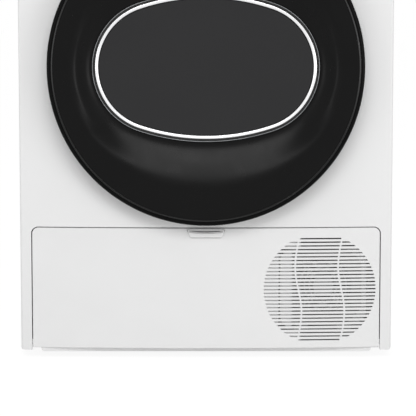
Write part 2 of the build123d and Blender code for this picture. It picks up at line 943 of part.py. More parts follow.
trim_back_y = ledge_y - seam
with BuildPart() as door_trim:
    trim_front_y = trim_back_y - trim_depth
    add(window_block(-seam, trim_front_y, trim_back_y))
    # Groove that sets a narrow lip off from the broad bright band
    groove_y = trim_front_y + 2 * trim_depth / 3
    add(window_block(-seam - trim_lip, trim_front_y - 1, groove_y), mode=Mode.SUBTRACT)
    add(window_block(-seam - trim_lip - trim_groove, trim_front_y, groove_y))
    add(window_block(-trim_width, trim_front_y - 1, trim_back_y + 1), mode=Mode.SUBTRACT)
finish(door_trim, "door_trim")

with BuildPart() as door_window:
    add(window_block(-trim_width - seam, trim_back_y - lens_thickness, trim_back_y))
finish(door_window, "door_window")

plug_end_y = edge_y + plug_reach
glass_y = plug_end_y - glass_thickness - moulding
with BuildPart() as door_inner_shell:
    add(
        turned(
            0,
            door_z,
            (
                (shell_y, door_back_radius - door_skin - seam),
                (door_back_y, door_back_radius - door_skin - seam),
                (door_back_y, plug_radius),
                (plug_end_y, plug_tip_radius),
                (plug_end_y, glass_radius - moulding),
                (glass_y + glass_thickness + seam, glass_radius - moulding),
                (glass_y + glass_thickness + seam, glass_radius + seam),
                (glass_y, glass_radius + seam),
                (shell_y, plug_radius - moulding),
            ),
        )
    )
    slab(
        (hinge_base_inner_x - moulding, door_radius),
        (shell_y - 1, door_back_y + 1),
        (door_z - hinge_notch - 1, door_z + hinge_notch + 1),
        mode=Mode.SUBTRACT,
    )
    slab(
        (catch_x - striker_half_width - seam, catch_x + striker_half_width + seam),
        (shell_y - 1, door_back_y + 1),
        (door_z - striker_half_height - seam, door_z + striker_half_height + seam),
        mode=Mode.SUBTRACT,
    )
finish(door_inner_shell, "door_inner_shell")

with BuildPart() as door_glass:
    rod(0, door_z, glass_radius, (glass_y, glass_y + glass_thickness))
finish(door_glass, "door_glass")

with BuildPart() as door_seal:
    seal_start_y = edge_y + seal_from
    seal_end_y = edge_y + seal_to
    taper = (plug_radius - plug_tip_radius) / (plug_end_y - door_back_y)
    start_radius = plug_radius - taper * (seal_start_y - door_back_y)
    end_radius = plug_radius - taper * (seal_end_y - door_back_y)
    add(
        turned(
            0,
            door_z,
            (
                (seal_start_y, start_radius + running),
                (seal_start_y, start_radius + moulding),
                (seal_start_y + moulding / 2, mouth_radius - seal_clearance),
                (seal_start_y + moulding, mouth_radius - seal_clearance),
                (seal_end_y, end_radius + moulding),
                (seal_end_y, end_radius + running),
            ),
        )
    )
finish(door_seal, "door_seal")

# Hinge: the door's half carries the pin, the cabinet's half two knuckles
with BuildPart() as door_hinge_arm:
    plate_back_y = skin_y + 2 * sheet
    slab(
        (hinge_base_inner_x, hinge_x - knuckle_radius),
        (skin_y, plate_back_y),
        (door_z - hinge_half_height, door_z + hinge_half_height),
    )
    for low, high in (
        (-hinge_half_height, -knuckle_outer - seam),
        (-knuckle_inner, knuckle_inner),
        (knuckle_outer + seam, hinge_half_height),
    ):
        slab(
            (hinge_x - 2 * knuckle_radius, hinge_x),
            (skin_y, hinge_y),
            (door_z + low, door_z + high),
        )
        post(hinge_x, hinge_y, knuckle_radius, (door_z + low, door_z + high))
    post(
        hinge_x,
        hinge_y,
        hinge_pin_radius,
        (door_z - hinge_half_height, door_z + hinge_half_height),
    )
finish(door_hinge_arm, "door_hinge_arm")

with BuildPart() as hinge_bracket:
    base_face_y = front_y(hinge_base_outer_x) - hinge_base_thickness
    slab(
        (hinge_base_inner_x, hinge_base_outer_x),
        (base_face_y, edge_y),
        (door_z - hinge_base_half, door_z + hinge_base_half),
    )
    add(bowed_block(half_width, return_y, front_bottom, front_top, -running), mode=Mode.SUBTRACT)
    for side in (-1, 1):
        near = door_z + side * (knuckle_inner + seam)
        far = door_z + side * knuckle_outer
        slab(
            (hinge_base_outer_x - 2 * arm_half_width, hinge_base_outer_x),
            (hinge_y, base_face_y),
            (near, far),
        )
        post(hinge_x, hinge_y, knuckle_radius, (near, far))
    post(
        hinge_x,
        hinge_y,
        hinge_pin_radius + running,
        (door_z - hinge_base_half, door_z + hinge_base_half),
        Mode.SUBTRACT,
    )
finish(hinge_bracket, "hinge_bracket")

# Striker on the door and the catch that it enters
striker_y = edge_y + catch_depth - 2 * catch_wall
with BuildPart() as door_striker:
    slab(
        (catch_x - 2 * striker_head, catch_x + 2 * striker_head),
        (skin_y, skin_y + moulding),
        (door_z - striker_plate_half_height, door_z + striker_plate_half_height),
    )
    slab(
        (catch_x - striker_half_width, catch_x + striker_half_width),
        (skin_y, striker_y),
        (door_z - striker_half_height, door_z + striker_half_height),
    )
    with Locations((catch_x, striker_y - striker_head, door_z)):
        Cylinder(striker_head - 1, 2 * striker_half_height)
finish(door_striker, "door_striker")

with BuildPart() as door_catch:
    case_half_width = catch_slot_half_width + catch_wall
    case_half_height = catch_slot_half_height + catch_wall
    case_back_y = edge_y + catch_depth
    slab(
        (catch_x - case_half_width, catch_x + case_half_width),
        (front_y(catch_x), case_back_y),
        (door_z - case_half_height, door_z + case_half_height),
    )
    slab(
        (catch_x - catch_slot_half_width, catch_x + catch_slot_half_width),
        (front_y(0), case_back_y - catch_wall),
        (door_z - catch_slot_half_height, door_z + catch_slot_half_height),
        mode=Mode.SUBTRACT,
    )
    behind_panel = bowed_block(
        half_width - flange_width, case_back_y, front_bottom, front_top, sheet + running
    )
    add(behind_panel, mode=Mode.INTERSECT)
finish(door_catch, "door_catch")

# ================================================================ drum
drum_inner_radius = drum_radius - drum_sheet
with BuildPart() as drum_shell:
    add(
        turned(
            0,
            drum_z,
            (
                (drum_front_y, drum_radius - drum_lip),
                (drum_front_y, drum_radius),
                (drum_back_y, drum_radius),
                (drum_back_y, 0),
                (drum_back_y - drum_sheet, 0),
                (drum_back_y - drum_sheet, drum_inner_radius),
                (drum_front_y + drum_sheet, drum_inner_radius),
                (drum_front_y + drum_sheet, drum_radius - drum_lip),
            ),
        )
    )
    with BuildSketch(facing(drum_back_y + 1)):
        with Locations((0, drum_z)):
            with PolarLocations(drum_inner_ring, drum_inner_count):
                Circle(drum_hole_radius)
            with PolarLocations(drum_outer_ring, drum_outer_count):
                Circle(drum_hole_radius)
    extrude(amount=drum_sheet + 2, mode=Mode.SUBTRACT)
finish(drum_shell, "drum_shell")

with BuildPart() as drum_lifters:
    with BuildSketch(facing(drum_back_y - drum_sheet - lifter_margin)) as lifter_plan:
        with Locations((0, drum_z)):
            with PolarLocations(0, lifter_count, start_angle=lifter_start):
                Polygon(
                    (drum_radius, -lifter_half_width),
                    (drum_radius, lifter_half_width),
                    (drum_inner_radius - lifter_height, lifter_top_half),
                    (drum_inner_radius - lifter_height, -lifter_top_half),
                    align=None,
                )
            Circle(drum_inner_radius - running, mode=Mode.INTERSECT)
    extrude(amount=drum_back_y - drum_front_y - 2 * lifter_margin)
finish(drum_lifters, "drum_lifters")

with BuildPart() as drum_shaft:
    rod(0, drum_z, hub_radius, (drum_back_y, drum_back_y + hub_thickness))
    rod(0, drum_z, shaft_radius, (drum_back_y, back_y - shaft_back_clearance))
finish(drum_shaft, "drum_shaft")

roller_places = (("left_roller", -roller_x), ("right_roller", roller_x))
roller_front_y = drum_front_y + 2 * drum_sheet
for roller_name, x in roller_places:
    with BuildPart() as roller:
        rod(x, roller_z, roller_radius, (roller_front_y, roller_front_y + roller_width))
        chamfer(roller.edges(), roller_bevel)
        rod(
            x,
            roller_z,
            roller_pin_radius + running,
            (roller_front_y - 1, roller_front_y + roller_width + 1),
            Mode.SUBTRACT,
        )
    finish(roller, roller_name)

# ================================================================ bulkheads
plate_back_y = front_bulkhead_y + bulkhead_thickness
with BuildPart() as front_bulkhead:
    slab(
        (-base_half_width, base_half_width),
        (front_bulkhead_y, plate_back_y),
        (bulkhead_bottom, bay_bottom),
    )
    rod(0, door_z, mouth_radius + collar_wall, (edge_y + collar_depth + seam, plate_back_y))
    rod(0, door_z, mouth_radius, (edge_y, front_bulkhead_y), Mode.SUBTRACT)
    rod(0, door_z, front_bulkhead_opening, (edge_y, plate_back_y + 1), Mode.SUBTRACT)
    # Slot that the lint filter drops through
    slab(
        (-filter_half_width - duct_clearance, filter_half_width + duct_clearance),
        (
            edge_y + filter_front_setback - duct_clearance / 2,
            edge_y + filter_back_setback + duct_clearance / 2,
        ),
        (bulkhead_bottom, door_z - front_bulkhead_opening / 2),
        mode=Mode.SUBTRACT,
    )
    # Pins that the drum's rollers run on
    for _, x in roller_places:
        rod(x, roller_z, 2 * roller_pin_radius, (plate_back_y, roller_front_y - seam))
        rod(x, roller_z, roller_pin_radius, (plate_back_y, roller_front_y + roller_width + sheet))
finish(front_bulkhead, "front_bulkhead")

with BuildPart() as front_felt:
    add(
        turned(
            0,
            drum_z,
            (
                (plate_back_y, drum_radius - felt_inner_inset),
                (plate_back_y, drum_radius - felt_outer_inset),
                (drum_front_y - seam, drum_radius - felt_outer_inset),
                (drum_front_y - seam, drum_radius - felt_inner_inset),
            ),
        )
    )
finish(front_felt, "front_felt")

filter_front_y = edge_y + filter_front_setback
filter_back_y = edge_y + filter_back_setback
duct_half = filter_half_width + duct_clearance
with BuildPart() as filter_duct:
    slab(
        (-duct_half - duct_wall, duct_half + duct_wall),
        (filter_front_y - duct_clearance / 2 - duct_wall, front_bulkhead_y - seam),
        (bulkhead_bottom, door_z - sqrt(mouth_radius**2 - duct_half**2)),
    )
    slab(
        (-duct_half, duct_half),
        (filter_front_y - duct_clearance / 2, filter_back_y + duct_clearance / 2),
        (filter_bottom - seam, door_z),
        mode=Mode.SUBTRACT,
    )
    # Outlet to the heat exchanger below
    slab(
        (-duct_half + 2 * duct_wall, duct_half - 2 * duct_wall),
        (filter_front_y + duct_wall, filter_back_y - duct_wall),
        (bulkhead_bottom - 1, filter_bottom),
        mode=Mode.SUBTRACT,
    )
    rod(0, door_z, mouth_radius + collar_wall + running, (edge_y, front_bulkhead_y), Mode.SUBTRACT)
finish(filter_duct, "filter_duct")

with BuildPart() as lint_filter:
    filter_middle_y = (filter_front_y + filter_back_y) / 2
    slab(
        (-filter_half_width, filter_half_width),
        (filter_front_y, filter_back_y),
        (filter_bottom, filter_top),
    )
    for side in (-1, 1):
        slab(
            (side * filter_frame / 2, side * (filter_half_width - filter_frame)),
            (filter_front_y - 1, filter_back_y + 1),
            (filter_bottom + filter_frame, door_z - mouth_radius - filter_frame),
            mode=Mode.SUBTRACT,
        )
    slab(
        (-filter_half_width + filter_mesh, filter_half_width - filter_mesh),
        (filter_middle_y - filter_mesh / 2, filter_middle_y + filter_mesh / 2),
        (filter_bottom + filter_mesh, door_z - mouth_radius - filter_mesh),
    )
    rod(0, door_z, mouth_radius, (edge_y, front_bulkhead_y), Mode.SUBTRACT)
    slab(
        (-filter_grip_half, filter_grip_half),
        (filter_middle_y - moulding, filter_middle_y + moulding),
        (door_z - mouth_radius - filter_frame, filter_grip_top),
    )
finish(lint_filter, "lint_filter")

with BuildPart() as rear_bulkhead:
    rear_plate_back_y = rear_bulkhead_y + rear_bulkhead_sheet
    slab(
        (-base_half_width, base_half_width),
        (rear_bulkhead_y, rear_plate_back_y),
        (bulkhead_bottom, rear_bulkhead_top),
    )
    rod(0, drum_z, bearing_radius, (rear_bulkhead_y, back_y - shaft_back_clearance - sheet))
    rod(0, drum_z, shaft_radius + running, (rear_bulkhead_y - 1, back_y), Mode.SUBTRACT)
    with BuildSketch(facing(rear_plate_back_y)):
        with Locations((0, drum_z)):
            with PolarLocations(inlet_ring, inlet_count):
                Circle(inlet_radius)
    extrude(amount=rear_bulkhead_sheet, mode=Mode.SUBTRACT)
finish(rear_bulkhead, "rear_bulkhead")

# ================================================================ heat exchanger
service_z = (service_bottom + service_top) / 2
service_height = service_top - service_bottom
housing_x = (exchanger_left, exchanger_right)
with BuildPart() as exchanger_housing:
    slab(housing_x, (exchanger_front_y, exchanger_back_y), (base_floor_top, exchanger_top))
    slab(
        (exchanger_left + moulding, exchanger_right - moulding),
        (exchanger_front_y + moulding, exchanger_back_y - moulding),
        (base_floor_top + moulding, exchanger_top - moulding),
        mode=Mode.SUBTRACT,
    )
    with BuildSketch(facing(exchanger_front_y + 2 * moulding)):
        with Locations((service_x, service_z)):
            RectangleRounded(2 * service_half_width, service_height, 2 * moulding)
    extrude(amount=3 * moulding, mode=Mode.SUBTRACT)
    # Inlet under the filter duct and outlet towards the process fan
    slab(
        (-duct_half + 2 * duct_wall, duct_half - 2 * duct_wall),
        (exchanger_front_y + moulding, filter_back_y),
        (exchanger_top - 2 * moulding, exchanger_top + 1),
        mode=Mode.SUBTRACT,
    )
    slab(
        (exchanger_right - volute_radius, exchanger_right - 3 * moulding),
        (exchanger_back_y - 2 * moulding, exchanger_back_y + 1),
        (base_top, exchanger_top - 4 * moulding),
        mode=Mode.SUBTRACT,
    )
finish(exchanger_housing, "exchanger_housing")

coil_x = (exchanger_left + moulding + seam, exchanger_right - moulding - seam)
coil_z = (base_floor_top + moulding, exchanger_top - moulding - seam)
evaporator_front_y = exchanger_front_y + coil_gap
condenser_front_y = evaporator_front_y + evaporator_depth + coil_gap
coils = (
    ("evaporator", evaporator_front_y, evaporator_depth),
    ("condenser", condenser_front_y, condenser_depth),
)
coil_middle = (sum(coil_x) / 2, sum(coil_z) / 2)
fin_pitch = fin_gap + fin_thickness
for coil_name, front, depth in coils:
    with BuildPart() as coil:
        slab(coil_x, (front, front + depth), coil_z)
        # Gaps between the fins, on both sides of a middle web
        for y in (front + (depth - fin_web) / 2, front + depth):
            with BuildSketch(facing(y)):
                with Locations(coil_middle):
                    with GridLocations(fin_pitch, 0, int((coil_x[1] - coil_x[0]) // fin_pitch), 1):
                        Rectangle(fin_gap, coil_z[1] - coil_z[0] - 2 * coil_end_plate)
            extrude(amount=(depth - fin_web) / 2, mode=Mode.SUBTRACT)
    finish(coil, coil_name)

cover_half_width = service_half_width + cover_overlap
with BuildPart() as evaporator_cover:
    with BuildSketch(facing(exchanger_front_y - seam)):
        with Locations((service_x, service_z)):
            RectangleRounded(2 * cover_half_width, service_height + 2 * cover_overlap, cover_overlap)
    extrude(amount=cover_thickness - seam)
    with BuildSketch(facing(exchanger_front_y + cover_plug)):
        with Locations((service_x, service_z)):
            RectangleRounded(
                2 * (service_half_width - seam),
                service_height - 2 * seam,
                2 * moulding,
            )
    extrude(amount=cover_plug + 2 * seam)
    # Hand recess in the middle and the pins that the levers turn on
    with BuildSketch(facing(cover_y)):
        with Locations((service_x, service_z)):
            SlotOverall(service_half_width, service_height / 3)
    extrude(amount=-cover_thickness, mode=Mode.SUBTRACT)
    for side in (-1, 1):
        lever_x = service_x + side * service_half_width
        rod(lever_x, service_z, lever_pin_radius, (cover_y - lever_thickness, cover_y))
finish(evaporator_cover, "evaporator_cover")

for side, lever_name in ((-1, "left_cover_lever"), (1, "right_cover_lever")):
    lever_x = service_x + side * service_half_width
    with BuildPart() as lever:
        with BuildSketch(facing(cover_y - seam)):
            with Locations((lever_x, service_z)):
                Circle(lever_hub_radius)
                with Locations((side * lever_length / 2, 0)):
                    SlotOverall(lever_length + 2 * lever_half_width, 2 * lever_half_width)
                Circle(lever_pin_radius + running, mode=Mode.SUBTRACT)
        extrude(amount=lever_thickness - seam)
    finish(lever, lever_name)

# ================================================================ cooling fan
fan_bottom = fan_z - fan_height / 2
with BuildPart() as cooling_fan_frame:
    with BuildSketch(facing(fan_back_y)):
        with Locations((fan_x, fan_z)):
            RectangleRounded(fan_width, fan_height, fan_corner)
    extrude(amount=fan_depth)
    with BuildSketch(facing(fan_back_y)):
        with Locations((fan_x, fan_z)):
            RectangleRounded(
                fan_width - 2 * fan_wall,
                fan_height - 2 * fan_wall,
                fan_corner - fan_wall,
            )
            Circle(fan_opening + fan_wall, mode=Mode.SUBTRACT)
    extrude(amount=fan_depth - fan_wall, mode=Mode.SUBTRACT)
    rod(fan_x, fan_z, fan_opening, (fan_front_y - 1, fan_back_y + 1), Mode.SUBTRACT)
    # Feet down to the base
    for side in (-1, 1):
        foot_middle = fan_x + side * fan_width / 4
        slab(
            (foot_middle - fan_corner / 2, foot_middle + fan_corner / 2),
            (fan_front_y + base_wall, fan_front_y + base_setback - fan_setback + base_wall),
            (base_top, fan_bottom + fan_wall),
        )
    # Finger guard: rings and four spokes round the motor's pin
    with BuildSketch(facing(fan_front_y + 2 * guard_wire)):
        with Locations((fan_x, fan_z)):
            Circle(fan_hub_radius)
            for radius in guard_radii:
                Circle(radius + guard_wire / 2)
                Circle(radius - guard_wire / 2, mode=Mode.SUBTRACT)
                Circle(fan_hub_radius)
    extrude(amount=2 * guard_wire)
    with BuildSketch(facing(fan_front_y + 2 * guard_wire)):
        with Locations((fan_x, fan_z)):
            for angle in guard_spoke_angles:
                Rectangle(2 * (fan_opening + 1), 2 * guard_wire, rotation=angle)
    extrude(amount=guard_wire)
    rod(fan_x, fan_z, fan_pin_radius, (fan_front_y, fan_back_y - 2 * guard_wire))
finish(cooling_fan_frame, "cooling_fan_frame")

rotor_front_y = fan_front_y + 3 * guard_wire
rotor_back_y = rotor_front_y + fan_rotor_depth
with BuildPart() as cooling_fan_rotor:
    rod(fan_x, fan_z, fan_hub_radius, (rotor_front_y, rotor_back_y))
    blade_middle = (fan_hub_radius + fan_blade_tip) / 2
    blade_length = fan_blade_tip - fan_hub_radius
    with Locations(Location((fan_x, (rotor_front_y + rotor_back_y) / 2, fan_z), (90, 0, 0))):
        with PolarLocations(0, fan_blade_count):
            with Locations(Location((blade_middle - 1, 0, 0), (fan_blade_pitch, 0, 0))):
                Box(blade_length + 2, fan_blade_chord, guard_wire)
    rod(
        fan_x,
        fan_z,
        fan_pin_radius + running,
        (rotor_front_y - 1, rotor_back_y + 1),
        Mode.SUBTRACT,
    )
finish(cooling_fan_rotor, "cooling_fan_rotor")

# ================================================================ motor, process fan, belt
with BuildPart() as drive_motor:
    rod(motor_x, motor_z, motor_radius, (motor_front_y, motor_front_y + motor_end_cap))
    rod(motor_x, motor_z, motor_radius - moulding, (motor_front_y, motor_back_y))
    rod(motor_x, motor_z, motor_radius, (motor_back_y - motor_end_cap, motor_back_y))
    rod(
        motor_x,
        motor_z,
        motor_shaft_radius + running,
        (motor_front_y - 1, motor_back_y + 1),
        Mode.SUBTRACT,
    )
finish(drive_motor, "drive_motor")

with BuildPart() as motor_shaft:
    rod(motor_x, motor_z, motor_shaft_radius, (belt_y - belt_width, impeller_back_y))
    rod(motor_x, motor_z, pulley_radius, (belt_y - belt_width / 2, belt_y + belt_width / 2))
    for y in (belt_y - belt_width / 2 - sheet, belt_y + belt_width / 2):
        rod(motor_x, motor_z, pulley_radius + belt_thickness, (y, y + sheet))
    rod(motor_x, motor_z, impeller_hub, (impeller_front_y, impeller_back_y))
    rod(motor_x, motor_z, impeller_radius, (impeller_back_y - 2 * sheet, impeller_back_y))
    blade_middle = (impeller_hub + impeller_radius) / 2
    with Locations(
        Location((motor_x, (impeller_front_y + impeller_back_y) / 2, motor_z), (90, 0, 0))
    ):
        with PolarLocations(0, impeller_blade_count):
            with Locations((blade_middle - 1, 0, 0)):
                Box(impeller_radius - impeller_hub, 2 * sheet, impeller_width)
finish(motor_shaft, "motor_shaft")

with BuildPart() as fan_volute:
    volute_y = (impeller_front_y - 2 * volute_wall, impeller_back_y + 2 * volute_wall)
    outlet_right = motor_x + volute_radius
    rod(motor_x, motor_z, volute_radius, volute_y)
    slab(
        (outlet_right - volute_outlet_width, outlet_right),
        volute_y,
        (motor_z, volute_outlet_top),
    )
    inner_y = (volute_y[0] + volute_wall, volute_y[1] - volute_wall)
    rod(motor_x, motor_z, volute_radius - volute_wall, inner_y, Mode.SUBTRACT)
    slab(
        (outlet_right - volute_outlet_width + volute_wall, outlet_right - volute_wall),
        inner_y,
        (motor_z, volute_outlet_top + 1),
        mode=Mode.SUBTRACT,
    )
    rod(motor_x, motor_z, impeller_radius / 2, (volute_y[0] - 1, inner_y[0]), Mode.SUBTRACT)
    for side in (-1, 1):
        slab(
            (motor_x + side * volute_foot_near, motor_x + side * volute_foot_far),
            volute_y,
            (base_floor_top, base_floor_top + volute_foot_height),
        )
finish(fan_volute, "fan_volute")

with BuildPart() as drive_belt:
    with BuildSketch(facing(belt_y + belt_width / 2)):
        for grow, mode in ((belt_thickness, Mode.ADD), (0, Mode.SUBTRACT)):
            with BuildSketch(mode=Mode.PRIVATE) as loop:
                with BuildLine():
                    CenterArc((0, drum_z), drum_radius + seam + grow, 0, 360)
                    CenterArc((motor_x, motor_z), pulley_radius + running + grow, 0, 360)
                make_hull()
            add(loop.sketch, mode=mode)
    extrude(amount=belt_width - 2 * seam)
finish(drive_belt, "drive_belt")

# ================================================================ compressor and pump
compressor_y = edge_y + compressor_setback
with BuildPart() as compressor:
    post(compressor_x, compressor_y, compressor_radius, (compressor_bottom, compressor_top))
    chamfer(compressor.edges().group_by(Axis.Z)[-1], compressor_crown)
    with BuildSketch(Plane.XY.offset(compressor_bottom - compressor_plate)):
        with Locations((compressor_x, compressor_y)):
            with PolarLocations(mount_ring, mount_count, start_angle=90):
                Circle(mount_radius)
            make_hull()
    extrude(amount=compressor_plate)
    post(
        compressor_x - accumulator_radius,
        compressor_y + compressor_radius + accumulator_radius / 2,
        accumulator_radius,
        (compressor_bottom + compressor_plate, compressor_top - compressor_crown),
    )
finish(compressor, "compressor")

with BuildPart() as drain_pump:
    post(pump_x, edge_y + pump_setback, pump_radius, (base_floor_top, base_floor_top + pump_height))
    post(
        pump_x,
        edge_y + pump_setback,
        pump_radius + moulding,
        (base_floor_top, base_floor_top + 2 * moulding),
    )
    post(
        pump_x + pump_radius / 2,
        edge_y + pump_setback,
        spigot_radius,
        (base_floor_top + pump_height, base_floor_top + pump_height + 2 * spigot_radius),
    )
finish(drain_pump, "drain_pump")

# ================================================================ controls and water tank
with BuildPart() as control_fascia:
    add(bowed_block(half_width, return_y, fascia_bottom, fascia_top, 0, corner_radius))
    add(
        bowed_block(
            half_width - moulding,
            return_y + 1,
            fascia_bottom + moulding,
            fascia_top - moulding,
            moulding,
            corner_radius - moulding,
        ),
        mode=Mode.SUBTRACT,
    )
    slab(
        (drawer_left, drawer_right),
        (face_y, return_y),
        (drawer_bottom, drawer_top),
        mode=Mode.SUBTRACT,
    )
    rod(knob_x, controls_z, knob_stem_radius + running, (face_y, edge_y), Mode.SUBTRACT)
    slab(
        (display_left, display_right),
        (face_y, edge_y),
        (display_bottom, display_top),
        mode=Mode.SUBTRACT,
    )
    for x in button_xs:
        rod(x, controls_z, button_radius + seam, (face_y, return_y), Mode.SUBTRACT)
finish(control_fascia, "control_fascia")

with BuildPart() as display_window:
    fascia_block = bowed_block(
        half_width - 2 * moulding, return_y, fascia_bottom, fascia_top, display_sunk
    )
    slab(
        (display_left + seam, display_right - seam),
        (face_y, front_y(display_right) + moulding),
        (display_bottom + seam, display_top - seam),
    )
    add(fascia_block, mode=Mode.INTERSECT)
finish(display_window, "display_window")

with BuildPart() as control_board:
    slab((board_left, board_right), (board_y, board_y + board_depth), (board_bottom, board_top))
    stem_hole = (board_y - 1, board_y + board_depth / 2)
    rod(knob_x, controls_z, knob_stem_radius + running, stem_hole, Mode.SUBTRACT)
    for z in (board_bottom, board_top - moulding):
        slab((board_left, board_right), (board_y, return_y), (z, z + moulding))
    slab(
        (display_left + moulding, display_right - moulding),
        (front_y(display_right) + moulding + seam, board_y),
        (display_bottom + moulding, display_top - moulding),
    )
finish(control_board, "control_board")

with BuildPart() as programme_knob:
    knob_base_y = front_y(knob_x) - seam - running
    add(
        turned(
            knob_x,
            controls_z,
            (
                (knob_base_y, 0),
                (knob_base_y, knob_radius + knob_skirt / 2),
                (knob_base_y - knob_skirt, knob_radius),
                (knob_base_y - knob_height, knob_radius - knob_taper),
                (knob_base_y - knob_height, 0),
            ),
        )
    )
    chamfer(programme_knob.edges().filter_by(GeomType.CIRCLE).group_by(Axis.Y)[0], knob_bevel)
    rod(knob_x, controls_z, knob_stem_radius, (knob_base_y, board_y + board_depth / 3))
    # Pointer notch in the face
    pointer_top = controls_z + knob_radius - pointer_inset
    slab(
        (knob_x - 1, knob_x + 1),
        (knob_base_y - knob_height - 1, knob_base_y - knob_height + 1),
        (pointer_top - pointer_length, pointer_top),
        mode=Mode.SUBTRACT,
    )
finish(programme_knob, "programme_knob")

for x, button_name in zip(button_xs, button_names):
    with BuildPart() as button:
        cap_y = front_y(x) - button_proud
        rod(x, controls_z, button_radius, (cap_y, board_y - button_travel - seam))
        chamfer(button.edges().filter_by(GeomType.CIRCLE).group_by(Axis.Y)[0], button_bevel)
        back_of_wall = front_y(x - button_radius - button_flange, moulding)
        flange_y = max(back_of_wall, front_y(x + button_radius + button_flange, moulding)) + seam
        rod(x, controls_z, button_radius + button_flange, (flange_y, flange_y + sheet))
    finish(button, button_name)

bay_x = (drawer_left - bay_wall, drawer_right + bay_wall)
bay_front_y = edge_y + bay_front_setback
with BuildPart() as tank_bay:
    slab(bay_x, (bay_front_y, rear_bulkhead_y), (bay_bottom, bay_top))
    slab(
        (drawer_left, drawer_right),
        (bay_front_y - 1, rear_bulkhead_y - bay_wall),
        (bay_bottom + bay_wall, bay_top + 1),
        mode=Mode.SUBTRACT,
    )
finish(tank_bay, "tank_bay")

tank_x = (drawer_left + tank_slack, drawer_right - tank_slack)
tank_z = (bay_bottom + bay_wall + seam, drawer_top - tank_slack)
with BuildPart() as tank_front:
    panel_back_y = edge_y + 2 * moulding
    slab(tank_x, (face_y, panel_back_y), (drawer_bottom + tank_slack, drawer_top - tank_slack))
    add(bowed_block(half_width, panel_back_y, fascia_bottom, fascia_top), mode=Mode.INTERSECT)
    # Finger grip: a pocket that reaches up behind the face
    drawer_middle = (drawer_left + drawer_right) / 2
    pocket_back_y = panel_back_y - moulding
    with BuildSketch(facing(pocket_back_y)):
        with Locations((drawer_middle, (grip_bottom + grip_top) / 2)):
            RectangleRounded(2 * grip_half_width, grip_top - grip_bottom, 2 * moulding)
    extrude(amount=pocket_back_y - face_y, mode=Mode.SUBTRACT)
    slab(
        (drawer_middle - grip_half_width + moulding, drawer_middle + grip_half_width - moulding),
        (front_y(drawer_middle - grip_half_width) + moulding, pocket_back_y),
        (grip_top - moulding, grip_top + grip_undercut),
        mode=Mode.SUBTRACT,
    )
finish(tank_front, "tank_front")

lid_z = tank_z[1] - tank_wall
tank_y = (panel_back_y, panel_back_y + tank_length)
with BuildPart() as water_tank:
    slab(tank_x, tank_y, (tank_z[0], lid_z - running))
    slab(
        (tank_x[0] + tank_wall, tank_x[1] - tank_wall),
        (tank_y[0] + tank_wall, tank_y[1] - tank_wall),
        (tank_z[0] + tank_wall, tank_z[1]),
        mode=Mode.SUBTRACT,
    )
finish(water_tank, "water_tank")

with BuildPart() as tank_lid:
    slab(tank_x, tank_y, (lid_z, tank_z[1]))
    post(
        (tank_x[0] + tank_x[1]) / 2,
        tank_y[1] - 2 * pour_radius,
        pour_radius,
        (lid_z - 1, tank_z[1] + 1),
        Mode.SUBTRACT,
    )
finish(tank_lid, "tank_lid")
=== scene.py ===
import json
from math import atan2, cos, pi, radians, sin, sqrt
from math import tau as TAU

import bmesh
import bpy
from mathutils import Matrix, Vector


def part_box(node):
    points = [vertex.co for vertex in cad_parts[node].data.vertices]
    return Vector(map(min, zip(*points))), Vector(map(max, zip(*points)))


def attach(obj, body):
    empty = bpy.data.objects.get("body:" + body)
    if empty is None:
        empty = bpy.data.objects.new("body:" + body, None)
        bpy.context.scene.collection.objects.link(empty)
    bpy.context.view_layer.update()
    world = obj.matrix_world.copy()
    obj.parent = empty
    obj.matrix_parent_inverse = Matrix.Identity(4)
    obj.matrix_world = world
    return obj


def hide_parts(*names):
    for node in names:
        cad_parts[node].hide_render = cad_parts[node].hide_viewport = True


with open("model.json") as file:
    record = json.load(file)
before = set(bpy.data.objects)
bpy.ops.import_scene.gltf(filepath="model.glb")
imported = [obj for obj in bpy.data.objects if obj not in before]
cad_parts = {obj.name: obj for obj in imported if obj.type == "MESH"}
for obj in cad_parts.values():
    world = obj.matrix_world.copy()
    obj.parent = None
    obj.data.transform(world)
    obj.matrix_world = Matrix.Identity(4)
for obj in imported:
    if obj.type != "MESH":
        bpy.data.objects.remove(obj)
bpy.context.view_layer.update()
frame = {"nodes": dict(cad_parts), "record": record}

MM = 0.001  # in metres

# ---- Materials -------------------------------------------------------------


def surface(name, colour, roughness, **inputs):
    """A Principled material; inputs are the shader's own sockets by name, _ for a space."""
    mat = bpy.data.materials.new(name)
    mat.use_nodes = True
    shader = mat.node_tree.nodes["Principled BSDF"]
    shader.inputs["Base Color"].default_value = (*colour, 1.0)
    shader.inputs["Roughness"].default_value = roughness
    for key, value in inputs.items():
        shader.inputs[key.replace("_", " ")].default_value = value
    return mat


def shader_of(mat):
    return mat.node_tree.nodes["Principled BSDF"]


def coordinates(mat, stretch=(1.0, 1.0, 1.0)):
    """Object coordinates in metres, stretched along the axes."""
    nodes, links = mat.node_tree.nodes, mat.node_tree.links
    place = nodes.new("ShaderNodeTexCoord")
    mapping = nodes.new("ShaderNodeMapping")
    mapping.inputs["Scale"].default_value = stretch
    links.new(place.outputs["Object"], mapping.inputs["Vector"])
    return mapping.outputs["Vector"]


def noise(mat, scale, detail=3.0, stretch=(1.0, 1.0, 1.0)):
    nodes, links = mat.node_tree.nodes, mat.node_tree.links
    texture = nodes.new("ShaderNodeTexNoise")
    texture.inputs["Scale"].default_value = scale
    texture.inputs["Detail"].default_value = detail
    links.new(coordinates(mat, stretch), texture.inputs["Vector"])
    return texture.outputs["Fac"]


